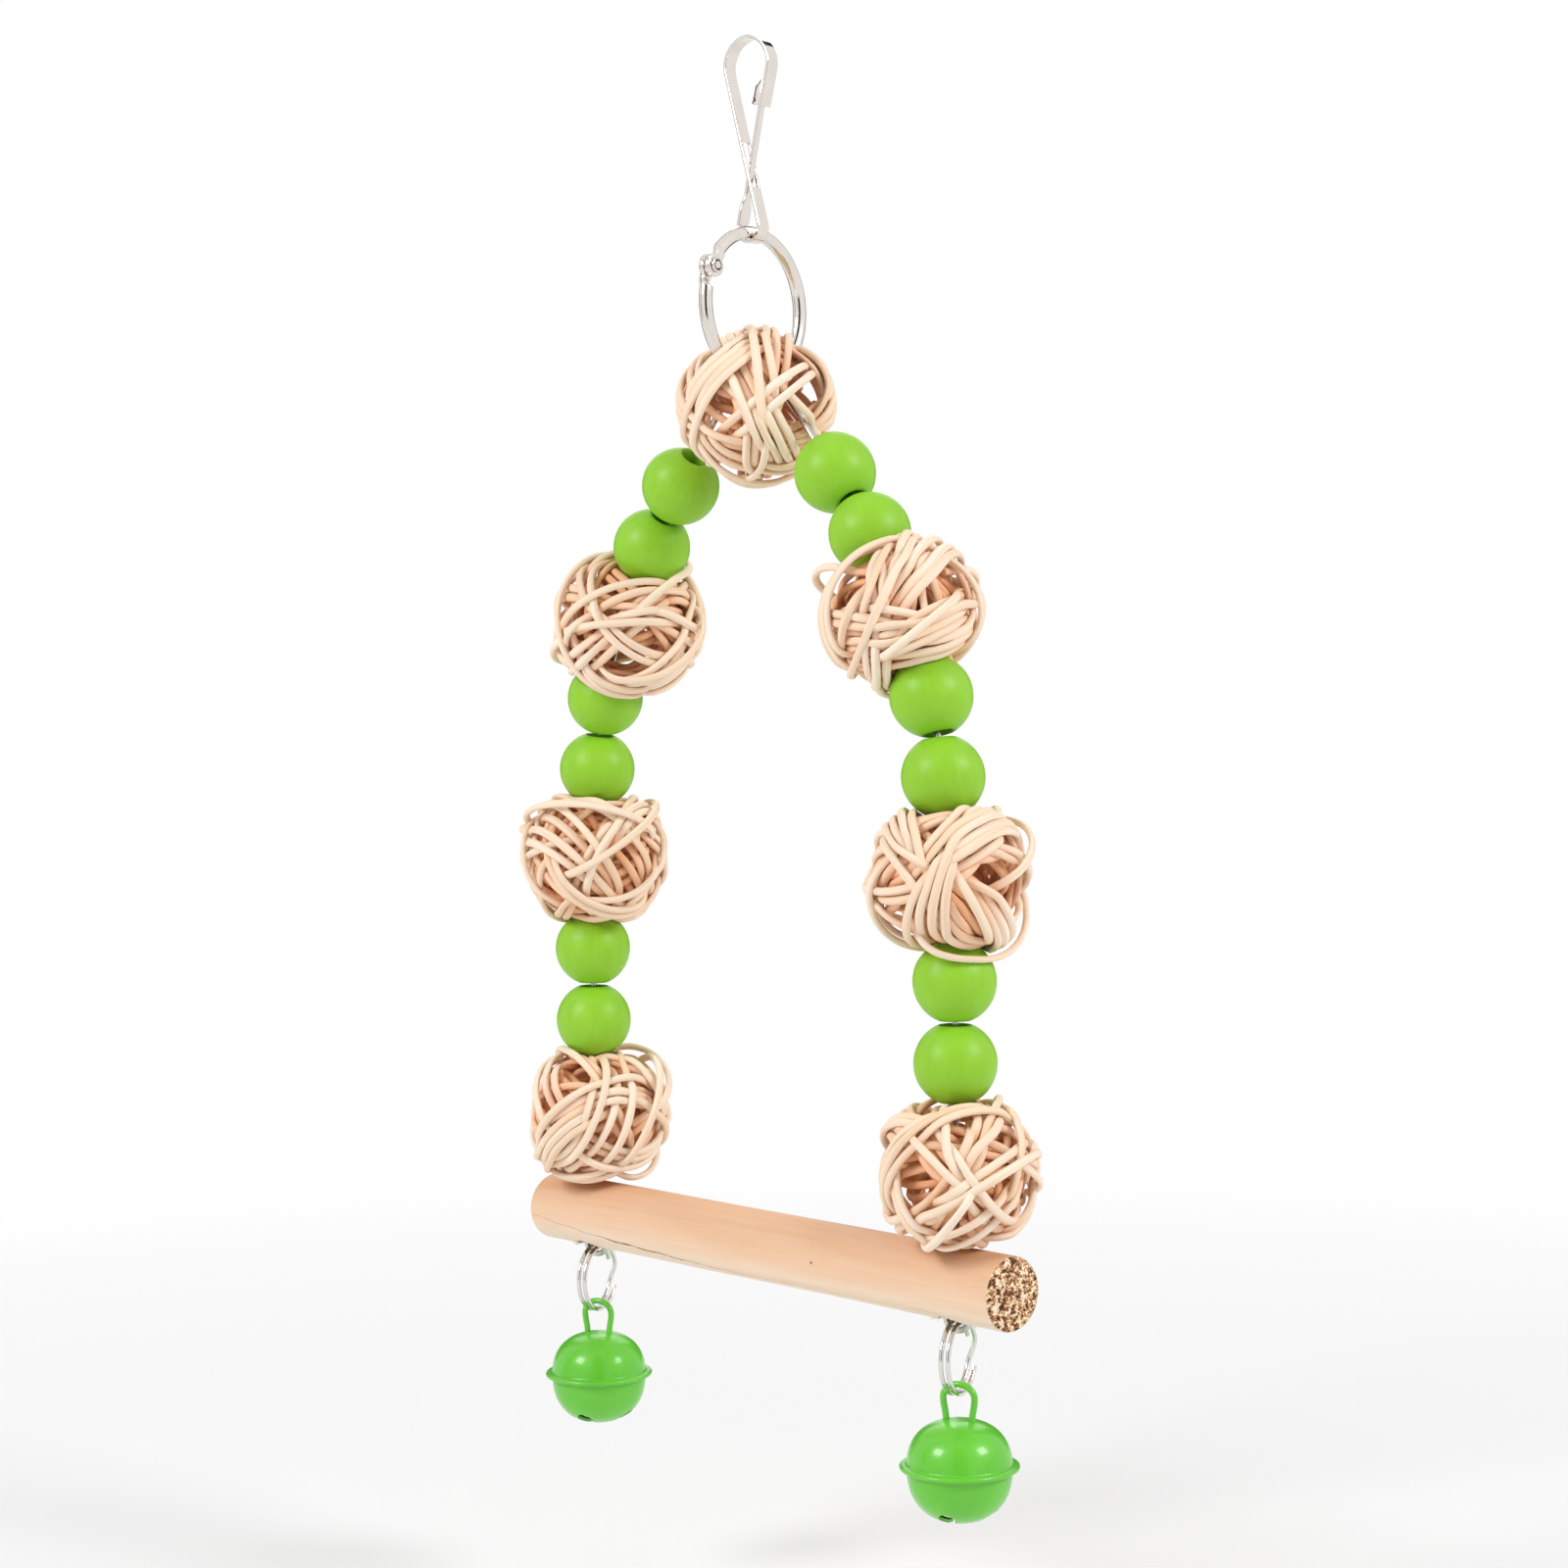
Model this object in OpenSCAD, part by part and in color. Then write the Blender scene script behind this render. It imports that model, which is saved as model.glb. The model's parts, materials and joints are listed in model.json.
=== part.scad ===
// Hanging bird swing.
// A snap hook carries a hinged binder ring. The ring passes through a woven rattan ball and
// under the top of a bent wire arch, which is threaded with wooden beads and rattan balls,
// passes through a wooden perch and ends in two eyes with split rings and jingle bells.
// Lengths are millimetres. X runs along the perch, Z is up, and the origin is the centre of
// the hook's crown, where a cage bar lies.

/* [Snap hook] */
// Width of the hook over its crown
hook_w = 10.8; // [9.6:0.1:13]
// Distance from the crown's centre down to the eye's centre
hook_drop = 30.2; // [27:0.1:36]
// Width of the eye over its sides
eye_w = 5.6; // [5.4:0.1:6.6]
// Width of the steel strip
strip_w = 3; // [2.6:0.1:4]
// Thickness of the steel strip
strip_t = 0.6; // [0.5:0.05:0.7]
// Width of the gate tongue
gate_w = 1.4; // [1.1:0.1:1.5]
// Length of the lip below the crown
lip_l = 7; // [6:0.1:9]
// Length of the channel folded at the lip's end
channel_l = 4.7; // [3.5:0.1:5.5]
// Height of the channel's two side walls
channel_h = 1.6; // [1.2:0.1:2]
// Length of the slot that the gate passes through
slot_l = 9; // [8.6:0.1:10]
// Turn of the hook and ring away from square to the perch, in degrees
hook_turn = 9; // [0:1:15]

/* [Binder ring] */
// Outer diameter of the ring
ring_od = 30; // [28:0.5:34]
// Thickness of the ring's wire
ring_wire = 2.5; // [2.2:0.1:2.7]
// Place of the rivet around the ring, in degrees above the front
rivet_a = 152; // [148:1:158]
// Diameter of the rivet's shaft
rivet_d = 1.2; // [1:0.1:1.4]
// Diameter of the rivet's heads
rivet_head_d = 2.8; // [2.4:0.1:3.2]
// Height of each rivet head
rivet_head_h = 0.5; // [0.3:0.1:0.8]
// Diameter of the flattened tabs at the hinge
tab_d = 4.4; // [4:0.1:5]
// Length of the half-lap at the clasp
lap_l = 3; // [2:0.1:4]

/* [Arch wire] */
// Thickness of the arch wire
wire_d = 1.2; // [1:0.1:1.4]
// Distance from the top of the arch down to the perch's axis
arch_h = 164.5; // [160:0.5:185]
// Distance between the two legs at the perch
leg_span = 102; // [98:0.5:112]
// Bend radius at the top of the arch
apex_r = 8; // [7:0.5:10]
// Radius of the shoulder bends
shoulder_r = 80; // [70:1:88]
// Radius of the slack bends above the legs
slack_r = 220; // [180:5:260]
// Inner diameter of the eye at each end
wire_eye_d = 3.2; // [3:0.1:3.6]

/* [Beads] */
// Diameter of a wooden bead
bead_d = 15; // [13.5:0.1:15.6]
// Diameter of a bead's bore
bead_bore = 5; // [4.6:0.1:6]

/* [Rattan balls] */
// Outer diameter of a woven ball
ball_d = 31; // [29:0.5:33]
// Thickness of the cane
cane_d = 1.6; // [1.4:0.1:1.7]
// Distance between the cane's inner and outer layers
cane_lift = 2.6; // [2.5:0.1:2.8]

/* [Perch] */
// Length of the perch
perch_l = 129; // [120:1:160]
// Diameter of the perch
perch_d = 13.4; // [12:0.1:16]
// Chamfer at the perch's ends
perch_chamfer = 0.5; // [0.2:0.1:1]
// Diameter of the pocket that the wire's eye sits in
pocket_d = 8; // [7.6:0.1:9]

/* [Split rings] */
// Outer diameter of a split ring
split_od = 13.6; // [13:0.1:16]
// Thickness of its wire
split_wire = 0.9; // [0.8:0.05:1]
// Distance between its two turns
split_pitch = 1.35; // [1.3:0.05:1.45]
// How far the ring's top sits inside the perch
split_sink = 0.5; // [0.2:0.1:0.8]
// Turn of the split rings and bells about the leg, in degrees
split_turn = 22; // [10:1:30]

/* [Bells] */
// Diameter of a bell's body
bell_d = 18.8; // [17:0.1:21]
// Height of a bell's body
bell_h = 18; // [16.5:0.1:20]
// Diameter of the crimped flange
flange_d = 21.4; // [20:0.1:23]
// Thickness of each shell's flange
flange_t = 0.5; // [0.4:0.05:0.7]
// Thickness of the bell's sheet metal
shell_t = 0.5; // [0.4:0.05:0.7]
// Thickness of the bell's wire loop
loop_wire = 1.2; // [1:0.1:1.4]
// Width of the bell's wire loop, inside
loop_w = 3.8; // [3.6:0.1:4.6]
// Length of the loop's straight legs above the dome
loop_leg = 3.8; // [3:0.1:5]
// Diameter of the pellet inside
pellet_d = 5; // [4:0.1:6]
// Width of the sound slots under the bell
slot_w = 1.8; // [1.2:0.1:2.2]
// Diameter of the holes at the sound slots' ends
slot_hole_d = 3.2; // [2.6:0.1:3.8]

/* [Hidden] */

// Smoothness of round shapes
$fn = 48;
// Gap where two pieces lie against each other
seat_gap = 0.3;
// Gap of a piece that turns or slides on another
run_gap = 0.1;
// How far a cutter runs past what it cuts
overrun = 1;
// Colours
steel = [0.78, 0.78, 0.8];
cane = [0.91, 0.76, 0.6];
green = [0.42, 0.75, 0.16];
wood = [0.9, 0.73, 0.55];

// Hook: places worked out from its sizes
crown_r = (hook_w - strip_t) / 2;
eye_r = (eye_w - strip_t) / 2;
lean_a = asin((crown_r + eye_r) / hook_drop);
leg_l = hook_drop * cos(lean_a);
tip_share = 0.8;
gate_l = leg_l - lip_l + channel_l * tip_share;
gate_a = lean_a - asin((strip_t + run_gap) / (leg_l - lip_l));
gate_root = [-eye_r * cos(lean_a), -hook_drop + eye_r * sin(lean_a)];
cross_l = crown_r * cos(lean_a) / sin(lean_a);
slot_above_share = 0.72;
eye_floor = -hook_drop - eye_r + strip_t / 2;

// Ring: its wire rests on the floor of the hook's eye, clear of the strip's two edges
ring_r = (ring_od - ring_wire) / 2;
ring_in_r = ring_r - ring_wire / 2;
ring_z = eye_floor + run_gap - sqrt(pow(ring_in_r, 2) - pow(strip_w / 2, 2));
clasp_a = rivet_a - 180;
lap_a = lap_l / ring_od * 360 / PI;

// Arch: the wire's top lies on the ring's lower inside
apex_z = ring_z - ring_in_r + run_gap + wire_d / 2;
leg_x = leg_span / 2;
perch_z = apex_z - arch_h;
// Slope of the wire where each bend of a side starts and ends, in degrees below level:
// top bend, bowed slope, shoulder and slack bend. The bowed slope takes up what is left.
bend_stops = [0, 46, 54, 80, 90];
function bend_reach(r, i) = r * (sin(bend_stops[i + 1]) - sin(bend_stops[i]));
slope_reach = leg_x - bend_reach(apex_r, 0) - bend_reach(shoulder_r, 2) - bend_reach(slack_r, 3);
slope_r = slope_reach / (sin(bend_stops[2]) - sin(bend_stops[1]));
bend_rs = [apex_r, slope_r, shoulder_r, slack_r];
bend_count = len(bend_rs);
function bend_l(i) = bend_rs[i] * (bend_stops[i + 1] - bend_stops[i]) * PI / 180;
function bend_centre(i) = i == 0 ? [0, apex_z - apex_r] :
    bend_centre(i - 1) + (bend_rs[i - 1] - bend_rs[i]) * [sin(bend_stops[i]), cos(bend_stops[i])];
function bend_start(i) = i == 0 ? 0 : bend_start(i - 1) + bend_l(i - 1);
leg_top_z = bend_centre(bend_count - 1)[1];
wire_l = bend_start(bend_count) + leg_top_z - perch_z;
// Straight steps that each bend is drawn with
bend_steps = [5, 3, 6, 3];

// Point of the right side at a distance along the wire from its top, as [x, z]
function leg_point(s, i = 0) =
    i == bend_count ? [leg_x, leg_top_z - s] :
    s > bend_l(i) ? leg_point(s - bend_l(i), i + 1) :
    let (a = bend_stops[i] + s / bend_rs[i] * 180 / PI)
    bend_centre(i) + bend_rs[i] * [sin(a), cos(a)];

// Balls: how close to the poles the cane of each goes, in degrees of latitude
deep_reach_a = 59;
mid_reach_a = 63;
full_reach_a = 66;
leg_leads = 5;
leg_bights = 6;
weave_r = (ball_d - cane_lift - cane_d) / 2;
bead_clear = (bead_d + cane_d) / 2 + seat_gap;
// Distance between the centres of a ball and a bead that sits in its open pole
function ball_pitch(reach) = max([for (p = weave_path(leg_leads, leg_bights, reach))
    let (out = norm([p[0], p[1]])) out < bead_clear ? p[2] + sqrt(pow(bead_clear, 2) - pow(out, 2)) : 0]);
bead_pitch = sqrt(pow(bead_d, 2) - pow(bead_bore, 2)) + seat_gap;
ball_foot = max([for (p = weave_path(leg_leads, leg_bights, full_reach_a)) p[2]]) + cane_d / 2 + seat_gap;

// Distances along the wire from its top to each threaded piece, stacked up from the perch
s_ball_3 = wire_l - perch_d / 2 - ball_foot;
s_bead_6 = s_ball_3 - ball_pitch(full_reach_a);
s_bead_5 = s_bead_6 - bead_pitch;
s_bead_4 = s_bead_5 - 2 * ball_pitch(mid_reach_a);
s_bead_3 = s_bead_4 - bead_pitch;
s_bead_2 = s_bead_3 - 2 * ball_pitch(deep_reach_a);
s_bead_1 = s_bead_2 - bead_pitch;
s_beads = [s_bead_1, s_bead_2, s_bead_3, s_bead_4, s_bead_5, s_bead_6];

// Top ball: hung on the ring, with its open poles facing the two shoulders
top_ball_drop = 6.8;
top_ball_z = apex_z - top_ball_drop;
top_ball_turn = 31;

// Wire eyes, split rings and bells below the perch
perch_floor = perch_z - perch_d / 2;
split_r = (split_od - split_wire) / 2;
split_top = perch_floor + split_sink;
split_z = split_top - split_od / 2;
bundle_w = split_pitch + split_wire;
wire_eye_r = (wire_eye_d + wire_d) / 2;
wire_eye_sag = sqrt(pow(wire_eye_d / 2, 2) - pow(bundle_w / 2, 2));
wire_eye_z = split_top - split_wire - run_gap + wire_eye_sag;
// Height of the eye's neck over its centre, and how far from the neck the wire's end stops
neck_share = 1.6;
eye_neck = wire_eye_r * neck_share;
eye_tangent_a = asin(1 / neck_share);
eye_end_l = 1.5 * wire_d;
eye_steps = 17;
pocket_top = wire_eye_z + eye_neck + wire_d / 2;
loop_r = (loop_w + loop_wire) / 2;
loop_sag = sqrt(pow(loop_w / 2, 2) - pow(bundle_w / 2, 2));
loop_z = split_z - split_od / 2 + split_wire + run_gap - loop_sag;
dome_z = loop_z - loop_leg;
dome_share = 0.46;
flange_z = dome_z - bell_h * dome_share;
bell_floor = dome_z - bell_h;
// Roundness of the shells: 1 is an ellipse, and less is fuller at the shoulder
round_share = 0.85;
// Reach of the sound slots across the bell
slot_share = 0.6;
// How far the loop's feet lie below the dome's top, and how far they reach outwards
foot_drop = 2.2;
foot_l = 2;
pellet_z = bell_floor + shell_t + seat_gap + pellet_d / 2;
// Half the angle that a split ring's crossing takes
cross_half_a = 25;

// Stands a shape drawn in the XY plane up, with its thickness along Y
module stand() {
    rotate([90, 0, 0]) children();
}

// Stands a shape drawn in the XY plane up, with its thickness along X
module stand_across() {
    rotate([90, 0, 90]) children();
}

// Strip bent to a radius about a centre, from one polar angle to another
module strip_arc(centre, r, from, to) {
    translate([centre[0], centre[1], 0]) rotate([0, 0, from])
        rotate_extrude(angle = to - from)
            translate([r - strip_t / 2, -strip_w / 2]) square([strip_t, strip_w]);
}

// Moves to a point of a strip and turns X to the strip's heading
module along(from, heading) {
    translate([from[0], from[1], 0]) rotate([0, 0, heading]) children();
}

// Straight strip that starts at the local origin
module strip_line(l) {
    translate([0, -strip_t / 2, -strip_w / 2]) cube([l, strip_t, strip_w]);
}

// Bent strip: lip with its channel, crown, slotted leg and eye. The channel's walls stop at
// the crown's inner round, so that a bar seats in the crown.
module hook_body() {
    leg_top = crown_r * [-cos(lean_a), -sin(lean_a)];
    lip_top = crown_r * [cos(lean_a), -sin(lean_a)];
    gate_slot_w = gate_w + 4 * run_gap;
    eye_end_a = 180 - lean_a + (strip_t / 2 + run_gap) / eye_r * 180 / PI;
    color(steel) rotate([0, 0, hook_turn]) stand() {
        difference() {
            union() {
                strip_arc([0, 0], crown_r, -lean_a, 180 + lean_a);
                along(leg_top, lean_a - 90) strip_line(leg_l);
                strip_arc([0, -hook_drop], eye_r, eye_end_a, 360 + lean_a);
                along(lip_top, -90 - lean_a) strip_line(lip_l);
                difference() {
                    along(lip_top, -90 - lean_a) channel_walls();
                    cylinder(r = crown_r - strip_t / 2, h = strip_w + overrun, center = true);
                }
            }
            along(leg_top, lean_a - 90)
                translate([cross_l - slot_l * slot_above_share, -overrun, -gate_slot_w / 2])
                    cube([slot_l, 2 * overrun, gate_slot_w]);
        }
    }
}

// Two walls folded inwards at the lip's end
module channel_walls() {
    for (wall_z = [-strip_w / 2, strip_w / 2 - strip_t])
        translate([lip_l - channel_l, -strip_t / 2 - channel_h, wall_z])
            cube([channel_l, channel_h + strip_t / 2, strip_t]);
}

// Springy tongue: as wide as the strip at its root, narrow from the slot up
module hook_gate() {
    neck_from = (leg_l - cross_l) * 0.35;
    neck_to = (leg_l - cross_l) * 0.6;
    color(steel) rotate([0, 0, hook_turn]) stand() along(gate_root, 90 - gate_a) {
        cylinder(d = strip_t, h = strip_w, center = true);
        rotate([90, 0, 0]) linear_extrude(height = strip_t, center = true)
            polygon([[0, -strip_w / 2], [neck_from, -strip_w / 2], [neck_to, -gate_w / 2],
                [gate_l, -gate_w / 2], [gate_l, gate_w / 2], [neck_to, gate_w / 2],
                [neck_from, strip_w / 2], [0, strip_w / 2]]);
    }
}

// Places a shape drawn in the ring's own plane, with its centre at the origin
module in_ring() {
    rotate([0, 0, hook_turn]) translate([0, 0, ring_z]) stand_across() children();
}

// One half of the ring, with a tab on its side of the hinge and a tongue at the clasp
module ring_half(side, from, to) {
    half_t = ring_wire / 2 - run_gap / 2;
    difference() {
        union() {
            rotate([0, 0, from]) rotate_extrude(angle = to - from)
                translate([ring_r, 0]) circle(d = ring_wire);
            rotate([0, 0, rivet_a]) translate([ring_r, 0, side * (ring_wire / 2 - half_t / 2)])
                cylinder(d = tab_d, h = half_t, center = true);
        }
        rotate([0, 0, rivet_a]) translate([ring_r, 0, 0]) {
            cylinder(d = rivet_d + run_gap, h = 2 * ring_wire, center = true);
            translate([0, 0, side * (run_gap / 2 - ring_wire / 2)])
                cylinder(d = tab_d + 2 * seat_gap, h = ring_wire, center = true);
        }
        rotate([0, 0, clasp_a])
            translate([ring_r, side * (run_gap / 2 - overrun / 2), side * (run_gap / 2 - ring_wire / 2)])
                cube([2 * ring_wire, lap_l + run_gap + overrun, ring_wire], center = true);
    }
}

// Upper half of the ring, from the clasp over the top to the rivet
module ring_upper_half() {
    color(steel) in_ring() ring_half(1, clasp_a - lap_a / 2, rivet_a);
}

// Lower half of the ring, from the rivet under the bottom to the clasp
module ring_lower_half() {
    color(steel) in_ring() ring_half(-1, rivet_a, clasp_a + 360 + lap_a / 2);
}

// Rivet with a flat head on each side of the two tabs
module ring_rivet() {
    head_z = (ring_wire + run_gap + rivet_head_h) / 2;
    color(steel) in_ring() rotate([0, 0, rivet_a]) translate([ring_r, 0, 0]) {
        cylinder(d = rivet_d, h = 2 * head_z, center = true);
        for (z = [-head_z, head_z])
            translate([0, 0, z]) cylinder(d = rivet_head_d, h = rivet_head_h, center = true);
    }
}

// Round perch with chamfered ends, a hole for each leg and a pocket for each eye
module perch() {
    hole_d = wire_d + 2 * seat_gap;
    r = perch_d / 2;
    color(wood) difference() {
        translate([-perch_l / 2, 0, perch_z]) rotate([0, 90, 0]) rotate_extrude()
            polygon([[0, 0], [r - perch_chamfer, 0], [r, perch_chamfer],
                [r, perch_l - perch_chamfer], [r - perch_chamfer, perch_l], [0, perch_l]]);
        for (x = [-leg_x, leg_x]) {
            translate([x, 0, perch_z]) cylinder(d = hole_d, h = r + overrun);
            translate([x, 0, perch_floor - overrun])
                cylinder(d = pocket_d, h = pocket_top - perch_floor + overrun);
        }
        for (x = [-leg_x, leg_x])
            translate([x, 0, pocket_top - overrun])
                cylinder(d = hole_d, h = perch_z - pocket_top + 2 * overrun);
    }
}

// Wooden bead with a drilled bore, threaded on a leg at a distance from the wire's top
module bead(side, s) {
    p = leg_point(s);
    before = leg_point(s - bead_d / 2);
    after = leg_point(s + bead_d / 2);
    tilt = atan2(after[0] - before[0], before[1] - after[1]);
    color(green) translate([side * p[0], 0, p[1]]) rotate([0, -side * tilt, 0]) difference() {
        sphere(d = bead_d);
        cylinder(d = bead_bore, h = bead_d + overrun, center = true);
    }
}

function unit(v) = v / norm(v);
function clamp(v) = max(-1, min(1, v));

// Direction of a path at point i
function heading_at(path, i) =
    unit(path[min(i + 1, len(path) - 1)] - path[max(i - 1, 0)]);

// Tube of triangles along a path, with one outward direction for each point
module tube(path, outward, r, sides) {
    n = len(path);
    points = [for (i = [0:n - 1])
        let (t = heading_at(path, i), s = unit(cross(t, outward[i])), u = cross(s, t))
        for (k = [0:sides - 1])
            path[i] + r * (cos(360 * k / sides) * s + sin(360 * k / sides) * u)];
    walls = [for (i = [0:n - 2]) for (k = [0:sides - 1])
        let (a = i * sides + k, b = i * sides + (k + 1) % sides)
        for (f = [[a, b, b + sides], [a, b + sides, a + sides]]) f];
    last = (n - 1) * sides;
    caps = [for (k = [1:sides - 2]) for (f = [[0, k + 1, k], [last, last + k, last + k + 1]]) f];
    polyhedron(points, concat(walls, caps));
}

// Points of one side of the arch from its top to the start of its leg, as [x, z]
side_points = [for (i = [0:bend_count - 1]) for (k = [0:bend_steps[i] - 1])
    leg_point(bend_start(i) + bend_l(i) * k / bend_steps[i])];

// Points of the drop-shaped eye about its centre, from the neck round to the wire's end
eye_points = concat([[0, eye_neck]],
    [for (k = [0:eye_steps]) let (a = eye_tangent_a - (180 + 2 * eye_tangent_a) * k / eye_steps)
        wire_eye_r * [cos(a), sin(a)]],
    [[0, eye_neck] - eye_end_l * [cos(90 - eye_tangent_a), sin(90 - eye_tangent_a)]]);

// Whole side of the wire in space: arch, leg and eye. The eye is turned about the leg.
function wire_side(side) = concat(
    [for (p = side_points) [side * p[0], 0, p[1]]],
    [[side * leg_x, 0, leg_top_z]],
    [for (p = eye_points) [side * leg_x + p[0] * cos(split_turn), p[0] * sin(split_turn),
        wire_eye_z + p[1]]]);

// Wire bent to an arch, with an eye below each end of the perch
module arch_wire() {
    right = wire_side(1);
    left = wire_side(-1);
    arch_n = len(side_points) + 1;
    path = concat([for (i = [len(left) - 1:-1:1]) left[i]], right);
    flat = [for (i = [0:len(right) - 1]) i < arch_n ? [0, 1, 0] : [-sin(split_turn), cos(split_turn), 0]];
    color(steel) tube(path, concat([for (i = [len(flat) - 1:-1:1]) flat[i]], flat), wire_d / 2, 8);
}

// Least distance between stretches of a path that are more than skip points apart
function least_gap(path, skip) = let (
    mid = [for (i = [0:len(path) - 2]) for (t = [0, 1, 2]) path[i] + t / 3 * (path[i + 1] - path[i])])
    min([for (i = [0:len(mid) - 1]) for (j = [i + 3 * skip:len(mid) - 1]) norm(mid[i] - mid[j])]);

// Point of the woven cane. It runs round the ball once for each lead, swings between the
// two open poles once for each bight, and passes over and under the strands it meets.
function weave_point(u, leads, bights, reach) =
    let (q = bights * u / leads, lat = reach * cos(q),
        lift = cos(leads * q) * clamp(sin(q) / sin(180 / leads)),
        r = weave_r + cane_lift / 2 * lift)
    r * [cos(lat) * cos(u), cos(lat) * sin(u), sin(lat)];

// Points of a ball's whole cane
function weave_path(leads, bights, reach) =
    [for (i = [0:4 * leads * bights - 1]) weave_point(90 * i / bights, leads, bights, reach)];

// Ball woven from one unbroken cane, with its open poles along Z
module woven_ball(leads, bights, reach, sides) {
    path = weave_path(leads, bights, reach);
    echo("least gap of the ball's cane to itself", least_gap(path, 3) - cane_d);
    tube(path, [for (p = path) unit(p)], cane_d / 2, sides);
}

// Ball on the ring, its open poles towards the two shoulders
module rattan_ball_top() {
    color(cane) translate([0, 0, top_ball_z]) rotate([top_ball_turn, 0, 0]) rotate([0, 90, 0])
        woven_ball(4, 5, deep_reach_a, 5);
}

// Ball on a leg, with its open poles towards the pieces before and after it
module leg_ball(side, before, after, reach, turn) {
    a = leg_point(before);
    b = leg_point(after);
    centre = (a + b) / 2;
    tilt = atan2(b[0] - a[0], a[1] - b[1]);
    color(cane) translate([side * centre[0], 0, centre[1]]) rotate([0, -side * tilt, 0])
        rotate([0, 0, turn]) woven_ball(leg_leads, leg_bights, reach, 5);
}

// Point of a split ring: two flat turns joined by a short crossing
function split_point(a) =
    split_r * [cos(a), sin(a), 0] + [0, 0, split_pitch / 2 * sin(90 * clamp((a - 360) / cross_half_a))];

// Split ring on the eye of a leg
module split_ring(side) {
    step = (360 + 2 * (180 - cross_half_a)) / 36;
    path = [for (i = [0:36]) split_point(cross_half_a + i * step)];
    echo("least gap of the split ring to itself", least_gap(path, 3) - split_wire);
    color(steel) translate([side * leg_x, 0, split_z]) rotate([0, 0, split_turn]) stand_across()
        tube(path, [for (p = path) unit([p[0], p[1], 0])], split_wire / 2, 6);
}

// Moves to the axis of a bell, at the height of its seam
module at_bell(side) {
    translate([side * leg_x, 0, flange_z]) rotate([0, 0, split_turn]) children();
}

// Curve of a bell shell from its pole to its seam, as [radius, height]
function shell_curve(r, h) =
    [for (i = [0:12]) let (a = 90 * i / 12) [r * pow(sin(a), round_share), h * pow(cos(a), round_share)]];
function reversed(list) = [for (i = [len(list) - 1:-1:0]) list[i]];

// Pressed shell with a flange at its seam
module bell_shell(h) {
    outer = shell_curve(bell_d / 2, h);
    inner = shell_curve(bell_d / 2 - shell_t, h - shell_t);
    rotate_extrude() polygon(concat(
        [for (i = [0:len(outer) - 2]) outer[i]],
        [[bell_d / 2, flange_t], [flange_d / 2, flange_t], [flange_d / 2, 0]], reversed(inner)));
}

// Upper shell, with two holes for the loop
module bell_upper_shell(side) {
    color(green) at_bell(side) difference() {
        bell_shell(dome_z - flange_z);
        for (x = [-loop_r, loop_r])
            translate([x, 0, 0]) cylinder(d = loop_wire + run_gap, h = bell_h);
    }
}

// Lower shell, with two crossed sound slots that end in round holes
module bell_lower_shell(side) {
    reach = bell_d * slot_share / 2;
    color(green) at_bell(side) difference() {
        mirror([0, 0, 1]) bell_shell(flange_z - bell_floor);
        for (turn = [0, 90]) rotate([0, 0, turn]) {
            translate([0, 0, -bell_h]) cube([2 * reach, slot_w, bell_h], center = true);
            for (x = [-reach, reach])
                translate([x, 0, -bell_h]) cylinder(d = slot_hole_d, h = bell_h);
        }
    }
}

// Wire loop through the dome, with its feet bent outwards inside
module bell_loop(side) {
    foot_z = dome_z - foot_drop - flange_z;
    color(green) at_bell(side) {
        translate([0, 0, loop_z - flange_z]) stand() rotate_extrude(angle = 180)
            translate([loop_r, 0]) circle(d = loop_wire);
        for (way = [-1, 1]) translate([way * loop_r, 0, 0]) {
            translate([0, 0, foot_z]) cylinder(d = loop_wire, h = loop_z - flange_z - foot_z);
            translate([0, 0, foot_z]) sphere(d = loop_wire);
            translate([0, 0, foot_z]) rotate([0, way * 90, 0]) cylinder(d = loop_wire, h = foot_l);
        }
    }
}

// Loose steel pellet on the bell's floor
module bell_pellet(side) {
    color(steel) translate([side * leg_x, 0, pellet_z]) sphere(d = pellet_d);
}

hook_body();
hook_gate();
ring_upper_half();
ring_lower_half();
ring_rivet();
arch_wire();
perch();
rattan_ball_top();
for (side = [-1, 1]) {
    name = side < 0 ? "left" : "right";
    for (k = [0:5]) bead(side, s_beads[k]);
    turn = side < 0 ? 0 : 25;
    leg_ball(side, s_bead_2, s_bead_3, deep_reach_a, turn);
    leg_ball(side, s_bead_4, s_bead_5, mid_reach_a, turn + 15);
    leg_ball(side, s_ball_3 - cane_d, s_ball_3 + cane_d, full_reach_a, turn);
    split_ring(side);
    bell_upper_shell(side);
    bell_lower_shell(side);
    bell_loop(side);
    bell_pellet(side);
}
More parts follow.
